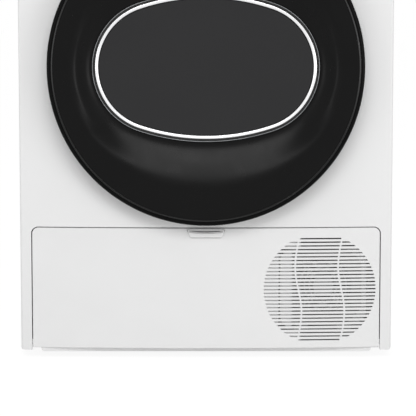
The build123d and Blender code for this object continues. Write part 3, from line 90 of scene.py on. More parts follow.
def ranged(mat, source, low, high, start=0.3, end=0.7):
    """Maps a 0 to 1 texture to a range of numbers."""
    nodes, links = mat.node_tree.nodes, mat.node_tree.links
    node = nodes.new("ShaderNodeMapRange")
    node.inputs["From Min"].default_value = start
    node.inputs["From Max"].default_value = end
    node.inputs["To Min"].default_value = low
    node.inputs["To Max"].default_value = high
    links.new(source, node.inputs["Value"])
    return node.outputs["Result"]


def tint(mat, source, dark, light, start=0.3, end=0.7):
    """Colours a material between two tones by a 0 to 1 texture."""
    nodes, links = mat.node_tree.nodes, mat.node_tree.links
    mix = nodes.new("ShaderNodeMix")
    mix.data_type = "RGBA"
    mix.inputs["A"].default_value = (*dark, 1.0)
    mix.inputs["B"].default_value = (*light, 1.0)
    links.new(ranged(mat, source, 0.0, 1.0, start, end), mix.inputs["Factor"])
    links.new(mix.outputs["Result"], shader_of(mat).inputs["Base Color"])


def roughen(mat, source, low, high):
    links = mat.node_tree.links
    links.new(ranged(mat, source, low, high), shader_of(mat).inputs["Roughness"])


def bump(mat, source, depth, strength=1.0):
    """Adds a height map of the given depth in metres on top of any earlier one."""
    nodes, links = mat.node_tree.nodes, mat.node_tree.links
    node = nodes.new("ShaderNodeBump")
    node.inputs["Distance"].default_value = depth
    node.inputs["Strength"].default_value = strength
    links.new(source, node.inputs["Height"])
    normal = shader_of(mat).inputs["Normal"]
    if normal.is_linked:
        links.new(normal.links[0].from_socket, node.inputs["Normal"])
    links.new(node.outputs["Normal"], normal)


def white_enamel():
    mat = surface("white_enamel", (0.82, 0.82, 0.82), 0.34, Specular_IOR_Level=0.45)
    tint(mat, noise(mat, 6.0, 2.0), (0.815, 0.815, 0.815), (0.835, 0.835, 0.835))
    roughen(mat, noise(mat, 14.0, 4.0), 0.31, 0.38)
    bump(mat, noise(mat, 420.0, 2.0), 0.00004, 0.25)
    return mat


def white_plastic():
    mat = surface("white_plastic", (0.82, 0.82, 0.82), 0.42, Specular_IOR_Level=0.4)
    tint(mat, noise(mat, 9.0, 2.0), (0.815, 0.815, 0.815), (0.835, 0.835, 0.835))
    roughen(mat, noise(mat, 60.0, 4.0), 0.38, 0.46)
    bump(mat, noise(mat, 1800.0, 2.0), 0.00003, 0.3)
    return mat


def black_gloss(name, specular, dark, light):
    """Glossy black moulding with its own depth of black for each part of the door: the rim's
    duller, less reflective copy is painted shade, the bevel line's lighter copy a painted
    highlight.
    """
    mat = surface(name, dark, 0.28, Specular_IOR_Level=specular)
    tint(mat, noise(mat, 12.0), dark, light)
    roughen(mat, noise(mat, 35.0, 5.0), 0.26, 0.32)
    bump(mat, noise(mat, 700.0, 2.0), 0.00002, 0.15)
    return mat


def smoked_lens():
    mat = surface("smoked_lens", (0.004, 0.004, 0.005), 0.08, Specular_IOR_Level=0.4)
    tint(mat, noise(mat, 8.0), (0.0035, 0.0035, 0.0045), (0.005, 0.005, 0.006))
    roughen(mat, noise(mat, 90.0, 4.0), 0.05, 0.11)
    return mat


def display_glass():
    mat = surface("display_glass", (0.006, 0.006, 0.008), 0.1, Specular_IOR_Level=0.35)
    tint(mat, noise(mat, 20.0), (0.005, 0.005, 0.007), (0.008, 0.008, 0.01))
    roughen(mat, noise(mat, 120.0, 4.0), 0.07, 0.13)
    return mat


def silver_trim():
    mat = surface("silver_trim", (0.84, 0.84, 0.85), 0.22, Metallic=1.0)
    tint(mat, noise(mat, 30.0), (0.82, 0.82, 0.83), (0.88, 0.88, 0.89))
    roughen(mat, noise(mat, 160.0, 5.0), 0.18, 0.27)
    return mat


def clear_glass():
    mat = surface("clear_glass", (0.93, 0.96, 0.95), 0.03, Transmission_Weight=1.0, IOR=1.5)
    roughen(mat, noise(mat, 18.0, 5.0), 0.02, 0.06)
    return mat


def moulded(name, colour, roughness, spread=0.03):
    """Moulded plastic with a fine spark-eroded texture."""
    mat = surface(name, colour, roughness, Specular_IOR_Level=0.35)
    dark = tuple(max(c * (1.0 - spread), 0.0) for c in colour)
    light = tuple(c * (1.0 + spread) for c in colour)
    tint(mat, noise(mat, 22.0, 4.0), dark, light)
    roughen(mat, noise(mat, 140.0, 4.0), roughness - 0.05, roughness + 0.06)
    bump(mat, noise(mat, 1500.0, 3.0), 0.00006, 0.35)
    return mat


def galvanised():
    """Zinc-coated sheet: pale crystals of slightly different tone."""
    mat = surface("galvanised", (0.52, 0.54, 0.55), 0.42, Metallic=1.0)
    nodes, links = mat.node_tree.nodes, mat.node_tree.links
    spangle = nodes.new("ShaderNodeTexVoronoi")
    spangle.inputs["Scale"].default_value = 130.0
    links.new(coordinates(mat), spangle.inputs["Vector"])
    tone = nodes.new("ShaderNodeSeparateColor")
    links.new(spangle.outputs["Color"], tone.inputs["Color"])
    tint(mat, tone.outputs["Red"], (0.46, 0.48, 0.49), (0.58, 0.6, 0.61), 0.0, 1.0)
    roughen(mat, tone.outputs["Green"], 0.36, 0.5)
    bump(mat, noise(mat, 300.0), 0.00003, 0.3)
    return mat


def brushed(name, colour, roughness, stretch, scale=40.0):
    """Bare metal with fine lines along the axis that isn't stretched."""
    mat = surface(name, colour, roughness, Metallic=1.0)
    lines = noise(mat, scale, 6.0, stretch)
    dark = tuple(c * 0.9 for c in colour)
    light = tuple(min(c * 1.08, 1.0) for c in colour)
    tint(mat, lines, dark, light)
    roughen(mat, lines, roughness - 0.06, roughness + 0.08)
    bump(mat, lines, 0.00002, 0.4)
    return mat


def cast_zinc():
    mat = surface("cast_zinc", (0.36, 0.37, 0.38), 0.5, Metallic=1.0)
    tint(mat, noise(mat, 60.0, 5.0), (0.31, 0.32, 0.33), (0.41, 0.42, 0.43))
    roughen(mat, noise(mat, 240.0, 4.0), 0.42, 0.6)
    bump(mat, noise(mat, 900.0, 4.0), 0.00008, 0.4)
    return mat


def black_steel():
    mat = surface("black_steel", (0.012, 0.012, 0.012), 0.38)
    tint(mat, noise(mat, 30.0), (0.01, 0.01, 0.01), (0.018, 0.018, 0.018))
    roughen(mat, noise(mat, 80.0, 4.0), 0.32, 0.48)
    bump(mat, noise(mat, 500.0, 3.0), 0.00006, 0.4)
    return mat


def rubber(name, colour):
    mat = surface(name, colour, 0.78, Specular_IOR_Level=0.3)
    dark = tuple(c * 0.85 for c in colour)
    light = tuple(c * 1.2 for c in colour)
    tint(mat, noise(mat, 90.0, 5.0), dark, light)
    roughen(mat, noise(mat, 260.0, 3.0), 0.7, 0.86)
    bump(mat, noise(mat, 2200.0, 2.0), 0.00008, 0.4)
    return mat


def felt():
    mat = surface("felt", (0.34, 0.32, 0.28), 0.95, Sheen_Weight=0.5)
    fibres = noise(mat, 900.0, 8.0, (1.0, 0.35, 1.0))
    tint(mat, fibres, (0.26, 0.245, 0.21), (0.42, 0.4, 0.35))
    bump(mat, fibres, 0.0004, 0.7)
    return mat


finishes = {
    "white_enamel": white_enamel(),
    "white_plastic": white_plastic(),
    "black_gloss": black_gloss(
        "black_gloss", 0.135, (0.0008, 0.0008, 0.0009), (0.0013, 0.0013, 0.0013)
    ),
    "smoked_lens": smoked_lens(),
    "display_glass": display_glass(),
    "silver_trim": silver_trim(),
    "clear_glass": clear_glass(),
    "grey_plastic": moulded("grey_plastic", (0.26, 0.27, 0.28), 0.55),
    "light_plastic": moulded("light_plastic", (0.6, 0.61, 0.61), 0.5),
    "dark_plastic": moulded("dark_plastic", (0.02, 0.02, 0.022), 0.5, 0.2),
    "galvanised": galvanised(),
    "stainless": brushed("stainless", (0.58, 0.58, 0.58), 0.3, (1.0, 14.0, 1.0)),
    "bright_steel": brushed("bright_steel", (0.55, 0.55, 0.56), 0.28, (1.0, 10.0, 1.0), 90.0),
    "cast_zinc": cast_zinc(),
    "black_steel": black_steel(),
    "fin_aluminium": brushed("fin_aluminium", (0.62, 0.63, 0.64), 0.34, (30.0, 1.0, 1.0)),
    "rubber": rubber("rubber", (0.018, 0.018, 0.018)),
    "grey_rubber": rubber("grey_rubber", (0.15, 0.155, 0.16)),
    "felt": felt(),
}

slots = {part["node"]: part["material_slot"] for part in frame["record"]["subparts"]}
for node, obj in frame["nodes"].items():
    obj.data.materials.clear()
    obj.data.materials.append(finishes[slots[node]])

# ---- Mesh helpers ----------------------------------------------------------


def piece(name, points, faces, slot, body, smooth=30.0, look=None):
    """A mesh object in metres with a slot's finish, or a look of its own, riding on a body."""
    mesh = bpy.data.meshes.new(name)
    mesh.from_pydata([tuple(p) for p in points], [], faces)
    tidy = bmesh.new()
    tidy.from_mesh(mesh)
    bmesh.ops.recalc_face_normals(tidy, faces=tidy.faces)
    tidy.to_mesh(mesh)
    tidy.free()
    mesh.shade_smooth()
    mesh.set_sharp_from_angle(angle=radians(smooth))
    mesh.materials.append(look or finishes[slot])
    obj = bpy.data.objects.new(name, mesh)
    bpy.context.collection.objects.link(obj)
    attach(obj, body)
    return obj


class Build:
    """Collects the points and faces of one piece made of many small forms."""

    def __init__(self):
        self.points, self.faces = [], []

    def loops(self, rings, closed=False):
        """Skin over rings with equally many points; closed joins the last ring to the first,
        and an open row of rings gets a cap at each end."""
        start, count = len(self.points), len(rings[0])
        for ring in rings:
            self.points.extend(ring)
        pairs = list(range(len(rings) - 1)) + ([len(rings) - 1] if closed else [])
        for k in pairs:
            a, b = start + k * count, start + (k + 1) % len(rings) * count
            for i in range(count):
                j = (i + 1) % count
                self.faces.append((a + i, a + j, b + j, b + i))
        if not closed:
            last = start + (len(rings) - 1) * count
            self.faces.append(tuple(start + i for i in reversed(range(count))))
            self.faces.append(tuple(last + i for i in range(count)))

    def turned(self, centre, axis, profile, steps=32, closed=False):
        """Turned form: profile of (distance along the axis, radius) in mm from the centre."""
        along = Vector(axis).normalized()
        across = along.orthogonal().normalized()
        other = along.cross(across)
        rings = []
        for distance, radius in profile:
            middle = Vector(centre) + along * distance * MM
            ring = []
            for i in range(steps):
                angle = TAU * i / steps
                ring.append(middle + (across * cos(angle) + other * sin(angle)) * radius * MM)
            rings.append(ring)
        self.loops(rings, closed)

    def bar(self, low, high, bevel=0.0):
        """Box between two corners in metres, with all its upright edges cut by bevel in mm."""
        (x0, y0, z0), (x1, y1, z1) = low, high
        outline = ((x0, y0), (x1, y0), (x1, y1), (x0, y1))
        if bevel:
            b = bevel * MM
            outline = (
                (x0 + b, y0), (x1 - b, y0), (x1, y0 + b), (x1, y1 - b),
                (x1 - b, y1), (x0 + b, y1), (x0, y1 - b), (x0, y0 + b),
            )
        self.loops([[Vector((x, y, z)) for x, y in outline] for z in (z0, z1)])

    def stroke(self, start, end, width, depth, normal):
        """Flat bar from start to end, width and depth in mm, standing proud along normal."""
        a, b, up = Vector(start), Vector(end), Vector(normal).normalized()
        along = (b - a).normalized()
        side = along.cross(up).normalized() * width / 2 * MM
        rise = up * depth * MM
        lower = [a - side, b - side, b + side, a + side]
        self.loops([lower, [p + rise for p in lower]])

    def wire(self, points, radius, steps=8):
        """Round wire through points in metres, radius in mm."""
        path = [Vector(p) for p in points]
        rings, side = [], None
        for k, point in enumerate(path):
            ahead = path[min(k + 1, len(path) - 1)] - path[max(k - 1, 0)]
            ahead.normalize()
            side = ahead.orthogonal() if side is None else side - ahead * side.dot(ahead)
            side.normalize()
            other = ahead.cross(side)
            turns = [TAU * i / steps for i in range(steps)]
            rings.append(
                [point + (side * cos(turn) + other * sin(turn)) * radius * MM for turn in turns]
            )
        self.loops(rings)

    def screw(self, place, axis, radius=3.6):
        """Domed screw head with a cross recess, standing out along axis."""
        self.turned(
            place,
            axis,
            ((0.0, radius), (0.7, radius), (1.5, radius * 0.8), (1.9, radius * 0.45), (1.9, 0.01)),
            20,
        )
        out = Vector(axis).normalized()
        across = out.orthogonal().normalized()
        for arm in (across, out.cross(across)):
            reach = arm * radius * 0.55 * MM
            top = Vector(place) + out * 1.9 * MM
            self.stroke(top - reach, top + reach, radius * 0.18, 0.12, out)

    def make(self, name, slot, body, smooth=30.0, look=None):
        return piece(name, self.points, self.faces, slot, body, smooth, look)


def cut(obj, low, high):
    """Cuts a box between two corners in metres out of a piece."""
    block = Build()
    block.bar(low, high)
    mesh = bpy.data.meshes.new("cutter")
    mesh.from_pydata([tuple(p) for p in block.points], [], block.faces)
    cutter = bpy.data.objects.new("cutter", mesh)
    bpy.context.collection.objects.link(cutter)
    modifier = obj.modifiers.new("notch", "BOOLEAN")
    modifier.operation = "DIFFERENCE"
    modifier.solver = "EXACT"
    modifier.object = cutter
    bpy.context.view_layer.update()
    shaped = bpy.data.meshes.new_from_object(
        obj.evaluated_get(bpy.context.evaluated_depsgraph_get())
    )
    obj.modifiers.clear()
    obj.data = shaped
    bpy.data.objects.remove(cutter)
    bpy.data.meshes.remove(mesh)


# ---- Where things are ------------------------------------------------------


def spot(node):
    """Middle of a CAD node's box."""
    low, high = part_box(node)
    return (Vector(low) + Vector(high)) / 2


panel_low, panel_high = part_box("front_panel")
half_width = panel_high[0]
kick_low, kick_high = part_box("kick_plate")
kick_depth_past_corners = 10 * MM
corner_y = kick_high[1] - kick_depth_past_corners  # the front corners of the cabinet
front_bow = corner_y - panel_low[1]
bow_radius = (half_width**2 + front_bow**2) / (2 * front_bow)
back_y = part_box("rear_panel")[1][1]


def front_y(x):
    """Y of the bowed front at x, in metres."""
    return corner_y - front_bow + bow_radius - sqrt(bow_radius**2 - x * x)


# ---- Door ring and its bright trim -----------------------------------------

ring_low, ring_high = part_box("door_ring")
face_y = ring_low[1]
door_z = (ring_low[2] + ring_high[2]) / 2
door_radius = -ring_low[0] / MM
window_end_radius = 106.5
trim_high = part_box("door_trim")[1]
trim_play = 0.3
window_wide = trim_high[0] / MM + trim_play
window_high = (trim_high[2] - door_z) / MM + trim_play
dish_wide = door_radius - 30.6
dish_high = door_radius - 55.6
window_depth = 20.0
trim_out = 1.4  # how far the dish ends outside the window's outline
door_depth = 28.0


def window_reach(angle, grow=0.0):
    """Distance from the window's middle to its four-arc outline, in mm."""
    wide, high, end = window_wide + grow, window_high + grow, window_end_radius + grow
    x, z = abs(cos(angle)), abs(sin(angle))
    end_x = wide - end
    broad = (end_x**2 + high**2 - end**2) / (2 * (high - end))
    drop = broad - high
    lean = atan2(end_x, drop)
    if atan2(z, x) < atan2(broad * cos(lean) - drop, broad * sin(lean)):
        return end_x * x + sqrt(end**2 - (end_x * z) ** 2)
    return -drop * z + sqrt(broad**2 - (drop * x) ** 2)


def dish_reach(angle, grow=0.0):
    """Distance from the middle to the dish's oval outline, in mm."""
    wide, high = dish_wide + grow, dish_high + grow
    return wide * high / sqrt((high * cos(angle)) ** 2 + (wide * sin(angle)) ** 2)


door_steps = 288
flank_gain = 1.6  # how fast a loop's depth passes to the flank's, by cos squared of the angle
end_gain, end_from = 5.0, 0.76  # the same for the end's depth, and where that begins


def door_loop(depth, grow=0.0, share=1.0, radius=None, flank=None, end=0.0):
    """Ring of points in the door: window-shaped at share 1, the dish's oval at 0, or round.

    A loop with a flank depth passes to it from depth towards the door's two sides, and to
    end right beside the window, where the hinge arm needs the room."""
    ring = []
    for i in range(door_steps):
        angle = TAU * (i + 0.5) / door_steps
        reach, inward = radius, depth
        if flank is not None:
            aside = cos(angle) ** 2
            inward += (flank - depth) * min(1.0, flank_gain * aside)
            inward += (end - inward) * min(1.0, max(0.0, end_gain * (aside - end_from)))
        if radius is None:
            outer = dish_reach(angle, grow)
            reach = outer + (window_reach(angle, grow) - outer) * share
        ring.append(
            Vector(
                (reach * cos(angle) * MM, face_y + inward * MM, door_z + reach * sin(angle) * MM)
            )
        )
    return ring


# Slopes down the dish by the share of the way in: below and above the window, towards the
# door's sides, and right beside the window.
bowl_bends = (
    (0.0, 0.0), (0.04, 0.17), (0.1, 0.35), (0.165, 0.48), (0.23, 0.6), (0.35, 0.71),
    (0.48, 0.75), (0.54, 0.78), (0.6, 0.84), (0.67, 0.91), (0.73, 1.0), (0.79, 0.87),
    (0.855, 0.72), (0.918, 0.48), (0.98, 0.08), (1.0, 0.0),
)
flank_bends = (
    (0.0, 0.0), (0.04, 0.2), (0.12, 0.52), (0.2, 0.78), (0.3, 0.96), (0.39, 1.0),
    (0.52, 0.93), (0.7, 0.66), (0.85, 0.42), (0.94, 0.2), (0.98, 0.05), (1.0, 0.0),
)
end_bends = (
    (0.0, 0.0), (0.1, 0.2), (0.3, 0.35), (0.42, 0.9), (0.5, 1.0), (0.6, 1.0), (0.75, 0.85),
    (0.9, 0.5), (0.98, 0.08), (1.0, 0.0),
)


def dish_depths(count, bends):
    """Depths down a bowl, as shares at equal steps of the way in, from its slopes."""
    slopes = []
    for k in range(count):
        share = (k + 0.5) / count
        for (a, low), (b, high) in zip(bends, bends[1:]):
            if a <= share < b:
                slopes.append(low + (high - low) * (share - a) / (b - a))
    total, depth, depths = sum(slopes), 0.0, []
    for slope in slopes:
        depth += slope / total
        depths.append(depth)
    return depths


def round_loop(depth, radius):
    return door_loop(depth, radius=radius)


dish_steps = 40
bowl, flanks, ends = (
    dish_depths(dish_steps, bends) for bends in (bowl_bends, flank_bends, end_bends)
)


def dish_loop(k, behind=0.0):
    """Ring k of the dish, or of its back face, set back and widened at the window by behind."""
    share = (k + 1) / dish_steps
    depths = [table[k] * window_depth + behind for table in (bowl, flanks, ends)]
    return door_loop(depths[0], (behind or trim_out) * share, share, flank=depths[1], end=depths[2])


skin = 4.0
face_radius = door_radius - 9.5
bevel_radius = door_radius - 7.0
door_back_radius = door_radius - 14.6
door_smooth = 24.0
notch_half, notch_reach = 42 * MM, 21.6

rim = Build()
rim.loops(
    [
        round_loop(door_depth, door_back_radius),
        round_loop(12.6, door_radius),
        round_loop(11.6, door_radius),
    ]
    + [
        round_loop(5.8 - 5.0 * sin(pi / 12 * k), door_radius - 5.0 * (1 - cos(pi / 12 * k)))
        for k in range(7)
    ]
    + [
        round_loop(0.8, door_radius - 6.5),
        round_loop(1.1, door_radius - 6.8),
        round_loop(skin, door_radius - 6.8),
        round_loop(12.0, door_radius - skin),
        round_loop(door_depth, door_back_radius - skin),
    ],
    closed=True,
)
notch_low = ((door_radius - notch_reach) * MM, face_y + skin * MM, door_z - notch_half)
notch_high = ((door_radius + 1.0) * MM, face_y + (door_depth + 1.0) * MM, door_z + notch_half)
# The rim's black reflects less than the face's: painted shade along the rim.
door_rim = rim.make(
    "door_rim", "black_gloss", "door", door_smooth,
    black_gloss("black_rim_painted_shade", 0.06, (0.0022, 0.0022, 0.0022), (0.0026, 0.0026, 0.0026)),
)
cut(door_rim, notch_low, notch_high)
door_rim.data.set_sharp_from_angle(angle=radians(door_smooth))

bevel = Build()
bevel.loops(
    [
        round_loop(skin, bevel_radius),
        round_loop(1.0, bevel_radius),
        round_loop(0.7, door_radius - 7.2),
        round_loop(0.2, door_radius - 8.8),
        round_loop(0.1, door_radius - 9.1),
        round_loop(0.3, door_radius - 9.3),
        round_loop(skin, door_radius - 9.3),
    ],
    closed=True,
)
# The bevel line's lighter, more reflective black is a painted highlight along the rim's edge.
bevel.make(
    "door_bevel_line", "black_gloss", "door", door_smooth,
    black_gloss("black_bevel_painted_highlight", 0.3, (0.011, 0.011, 0.011), (0.013, 0.013, 0.013)),
)

face = Build()
rings = [
    round_loop(skin, face_radius),
    round_loop(0.2, face_radius),
    round_loop(0.0, door_radius - 9.7),
    round_loop(0.0, door_radius - 10.5),
    door_loop(0.0, grow=6.0, share=0.0),
    door_loop(0.0, grow=1.0, share=0.0),
    door_loop(0.0, share=0.0),
]
rings += [dish_loop(k) for k in range(dish_steps)]
rings += [
    door_loop(window_depth + 0.2, trim_out - 0.3),
    door_loop(window_depth + 2.2, trim_out - 0.4),
    door_loop(window_depth + 2.2, -0.2),
    door_loop(window_depth + 3.0, -0.3),
    door_loop(window_depth + 3.0, -11.0),
    door_loop(door_depth - 3.3, -11.0),
    door_loop(door_depth - 3.3, skin),
]
rings += [dish_loop(k, skin) for k in reversed(range(0, dish_steps, 3))]
rings += [door_loop(skin, share=0.0)]
face.loops(rings, closed=True)
door_face = face.make("door_face_moulding", "black_gloss", "door", door_smooth)
cut(door_face, notch_low, notch_high)
door_face.data.set_sharp_from_angle(angle=radians(door_smooth))
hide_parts("door_ring")

for name, slot, look, section in (
    (
        "door_trim_lip",
        "silver_trim",
        finishes["cast_zinc"],
        ((22.7, -0.4), (17.2, -0.4), (16.9, -0.7), (16.9, -1.0), (17.2, -1.3), (22.7, -1.3)),
    ),
    (
        "door_trim_gasket",
        "rubber",
        None,
        ((22.7, -1.4), (17.9, -1.4), (17.6, -1.9), (17.8, -3.6), (17.9, -5.0), (22.7, -5.0)),
    ),
    (
        "door_trim_band",
        "silver_trim",
        None,
        (
            (22.7, -5.1), (17.7, -5.1), (17.0, -5.4), (16.7, -6.0), (16.8, -7.4),
            (17.3, -8.9), (18.2, -9.9), (19.1, -10.4), (22.7, -10.4),
        ),
    ),
):
    trim = Build()
    trim.loops([door_loop(depth, grow) for depth, grow in section], closed=True)
    trim_piece = trim.make(name, slot, "door", 40.0, look)
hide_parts("door_trim")


# ---- Kick plate: side gaps, pull, and what shows behind the grille -----------

strip_setback = 0.9 * MM
strip_y = front_y(kick_high[0]) + strip_setback
for side, end in (("left", -1), ("right", 1)):
    near, far = sorted(end * (kick_high[0] + reach * MM) for reach in (0.25, 1.15))
    strip = Build()
    strip.bar(
        (near, strip_y, kick_low[2] + 4 * MM), (far, strip_y + 4 * MM, kick_high[2] - 2 * MM), 0.2
    )
    strip.make(f"kick_gap_strip_{side}", "white_enamel", "cabinet")

pull_low, pull_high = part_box("kick_pull")
pull_half_top, pull_half_foot, pull_corner = 29.5, 26.0, 4.0
seam_radius = 0.6
seam_path = [(-pull_half_top - seam_radius, pull_high[2] / MM - 1.0)]
for k in range(7):
    angle = pi + pi / 12 * k
    seam_path.append(
        (
            pull_corner - pull_half_foot + (pull_corner + seam_radius) * cos(angle),
            pull_low[2] / MM + pull_corner + (pull_corner + seam_radius) * sin(angle),
        )
    )
seam_path += [(-x, z) for x, z in reversed(seam_path)]
# The grey wire round the pull's sides and foot is its seam and also painted shadow, the soft shade
# the pull casts on the plate.
seam = Build()
seam.wire([(x * MM, front_y(x * MM) - 0.1 * MM, z * MM) for x, z in seam_path], seam_radius)
seam.make(
    "kick_pull_seam", "grey_plastic", "kick_flap", look=moulded("seam_and_painted_shadow_grey", (0.4,) * 3, 0.6)
)

lips = Build()
mouth_half, mouth_foot = 26.4, pull_high[2] / MM - 5.8
for foot, height, setback, sag in ((0.0, 1.3, 0.1, 2.0), (4.9, 1.7, 0.5, 0.0)):
    section = (
        (0.4, 0), (0, 0.3), (0, height - 0.3), (0.4, height), (2, height), (2, 0),
    )
    y = pull_low[1] / MM + setback
    rings = []
    for k in range(25):
        t = k / 12 - 1
        x, z = mouth_half * t, mouth_foot + foot + sag * t**2
        rings.append([Vector((x, y + depth, z + rise)) * MM for depth, rise in section])
    lips.loops(rings)
lips.make("kick_pull_lips", "white_plastic", "kick_flap")

fan_low, fan_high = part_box("cooling_fan_frame")
baffle_setback, baffle_sheet = 4.6, 1.2
baffle = Build()
# Sheets beside, above and below the fan: across, up, and the radius of the left corners.
for (left, right), (foot, top), corner in (
    ((91.5, 116.4), (42.0, 183.0), 1.0),
    ((119.2, 137.4), (50.0, 176.0), 18.0),
    ((117.6, 152.0), (181.5, 204.0), 1.0),
    ((117.6, 152.0), (20.0, 44.5), 1.0),
):
    rings = []
    for k in range(17):
        x = left + (right - left) * k / 16
        drop = corner - sqrt(max(corner**2 - max(left + corner - x, 0.0) ** 2, 0.0))
        y = front_y(x * MM) / MM + baffle_setback
        low_z, high_z = foot + drop, top - drop
        corners = ((0.0, low_z), (0.0, high_z), (baffle_sheet, high_z), (baffle_sheet, low_z))
        rings.append([Vector((x, y + depth, z)) * MM for depth, z in corners])
    baffle.loops(rings)
stud_x = 104.0
for z in (60.0, 165.0):
    y = front_y(stud_x * MM) / MM + 3.2
    baffle.turned(Vector((stud_x, y, z)) * MM, (0, 1, 0), ((0, 1.5), (1.6, 1.5)), 12)
baffle.make("kick_baffle", "white_plastic", "kick_flap")

fan_x, fan_z = spot("cooling_fan_rotor")[0] / MM, spot("cooling_fan_rotor")[2] / MM
screen_left, screen_right, screen_reach, screen_hole = 139.5, 250.0, 71.0, 45.2
screen_foot, screen_top = fan_low[2] / MM + 11, fan_high[2] / MM - 3
screen = Build()
hole, outline = [], []
for k in range(96):
    angle = TAU * (k + 0.5) / 96
    x, z = cos(angle), sin(angle)
    wide = ((screen_right if x > 0 else screen_left) - fan_x) / x
    tall = ((screen_top if z > 0 else screen_foot) - fan_z) / z
    reach = min(wide, tall, screen_reach)
    hole.append((fan_x + screen_hole * x, fan_z + screen_hole * z))
    outline.append((fan_x + reach * x, fan_z + reach * z))
screen.loops(
    [
        [Vector((x, fan_low[1] / MM - lift, z)) * MM for x, z in ring]
        for ring, lift in ((hole, 0.05), (hole, 0.5), (outline, 0.5), (outline, 0.05))
    ],
    closed=True,
)
# The screen's dark grey is painted shade, standing in for the depth behind the grille round the
# fan.
screen.make(
    "fan_screen", "dark_plastic", "cabinet", look=moulded("screen_painted_shade_grey", (0.2,) * 3, 0.6)
)
# The near-black ring at the screen's hole is a painted shadow along the hole's edge.
screen_ring = Build()
screen_ring.turned(
    (fan_x * MM, fan_low[1], fan_z * MM),
    (0, -1, 0),
    ((0.5, 42.6), (0.9, 42.8), (0.9, 45.6), (0.5, 45.8)),
    96,
    closed=True,
)
screen_ring.make(
    "fan_screen_ring", "dark_plastic", "cabinet", look=moulded("ring_painted_shadow_black", (0.006,) * 3, 0.8)
)


# ---- Fascia: dial print, display digits and button symbols ------------------

# Seven-bar figures: each bar's ends in quarter heights, and the bars of each figure.
bars = {
    "a": ((-1, 2), (1, 2)), "b": ((1, 2), (1, 0)), "c": ((1, 0), (1, -2)), "d": ((-1, -2), (1, -2)),
    "e": ((-1, -2), (-1, 0)), "f": ((-1, 0), (-1, 2)), "g": ((-1, 0), (1, 0)),
}
figures = {
    "0": "abcdef", "1": "bc", "2": "abged", "3": "abgcd", "4": "fgbc",
    "5": "afgcd", "6": "afgedc", "7": "abc", "8": "abcdefg", "9": "abcdfg",
}


print_lift = 0.1
arc_steps = 20


def print_line(build, surface_y, start, end, width):
    """A printed stroke between two points, x and z in mm, on a front surface."""
    a, b = (Vector((x * MM, surface_y(x * MM), z * MM)) for x, z in (start, end))
    build.stroke(a, b, width, print_lift, (0, -1, 0))


def print_arc(build, surface_y, middle, radius, start, end, width):
    """A printed arc from start to end, in degrees anticlockwise from the right."""
    spots = []
    for k in range(arc_steps + 1):
        angle = radians(start + (end - start) * k / arc_steps)
        spots.append((middle[0] + radius * cos(angle), middle[1] + radius * sin(angle)))
    for a, b in zip(spots, spots[1:]):
        print_line(build, surface_y, a, b, width)


def print_figures(build, surface_y, text, middle, height, width):
    """A printed row of seven-bar figures and colons round a middle, height in mm."""
    unit = height / 4
    advance = 3.4 * unit
    x = middle[0] - (len(text) - 1) * advance / 2
    for letter in text:
        if letter == ":":
            for rise in (-1, 1):
                z = middle[1] + rise * unit
                print_line(build, surface_y, (x, z - width / 2), (x, z + width / 2), width)
        for bar in figures.get(letter, ""):
            ends = [(x + u * unit, middle[1] + v * unit) for u, v in bars[bar]]
            print_line(build, surface_y, *ends, width)
        x += advance


knob = spot("programme_knob") / MM
tick_radius, long_tick, short_tick, figure_radius = 31.0, 3.0, 1.4, 38.5
hours, ticks_per_hour = 12, 4


def round_knob(angle, radius):
    """Point on the front at a clockwise angle from the knob's top, x and z in mm."""
    return knob[0] + radius * sin(angle), knob[2] + radius * cos(angle)


dial = Build()
for k in range(hours):
    angle = TAU * k / hours
    for part in range(ticks_per_hour):
        turn = angle + TAU / (hours * ticks_per_hour) * part
        length, width = (short_tick, 0.5) if part else (long_tick, 0.9)
        ends = [round_knob(turn, radius) for radius in (tick_radius, tick_radius + length)]
        print_line(dial, front_y, *ends, width)
    print_figures(dial, front_y, str(k or hours), round_knob(angle, figure_radius), 4.2, 0.55)
dial.make("dial_print", "dark_plastic", "cabinet")

grip_ribs = 48
grip_ends = ((26.5, -296.0), (25.3, -309.0))  # radius and y of a rib's two ends
grip = Build()
for k in range(grip_ribs):
    angle = TAU * k / grip_ribs
    x, z = cos(angle), sin(angle)
    ends = [Vector((knob[0] + r * x, y, knob[2] + r * z)) * MM for r, y in grip_ends]
    grip.stroke(*ends, 0.9, 0.45, (x, -0.07, z))
grip.turned(
    Vector((knob[0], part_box("programme_knob")[0][1] / MM, knob[2])) * MM,
    (0, -1, 0),
    ((-0.1, 20.4), (0.12, 20.6), (0.12, 21.4), (-0.1, 21.6)),
    72,
    closed=True,
)
grip.make("knob_grip_ribs", "silver_trim", "knob")

glow = surface("display_glow", (0.75, 0.85, 0.9), 0.4, Emission_Strength=0.7)
shader_of(glow).inputs["Emission Color"].default_value = (0.75, 0.9, 1.0, 1.0)
roughen(glow, noise(glow, 200.0), 0.35, 0.45)
lens_low, lens_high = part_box("display_window")
lens_inset, lens_corner, edge_corner = 0.42, 4.0, 4.4


def lens_y(x):
    return front_y(x) + lens_inset * MM


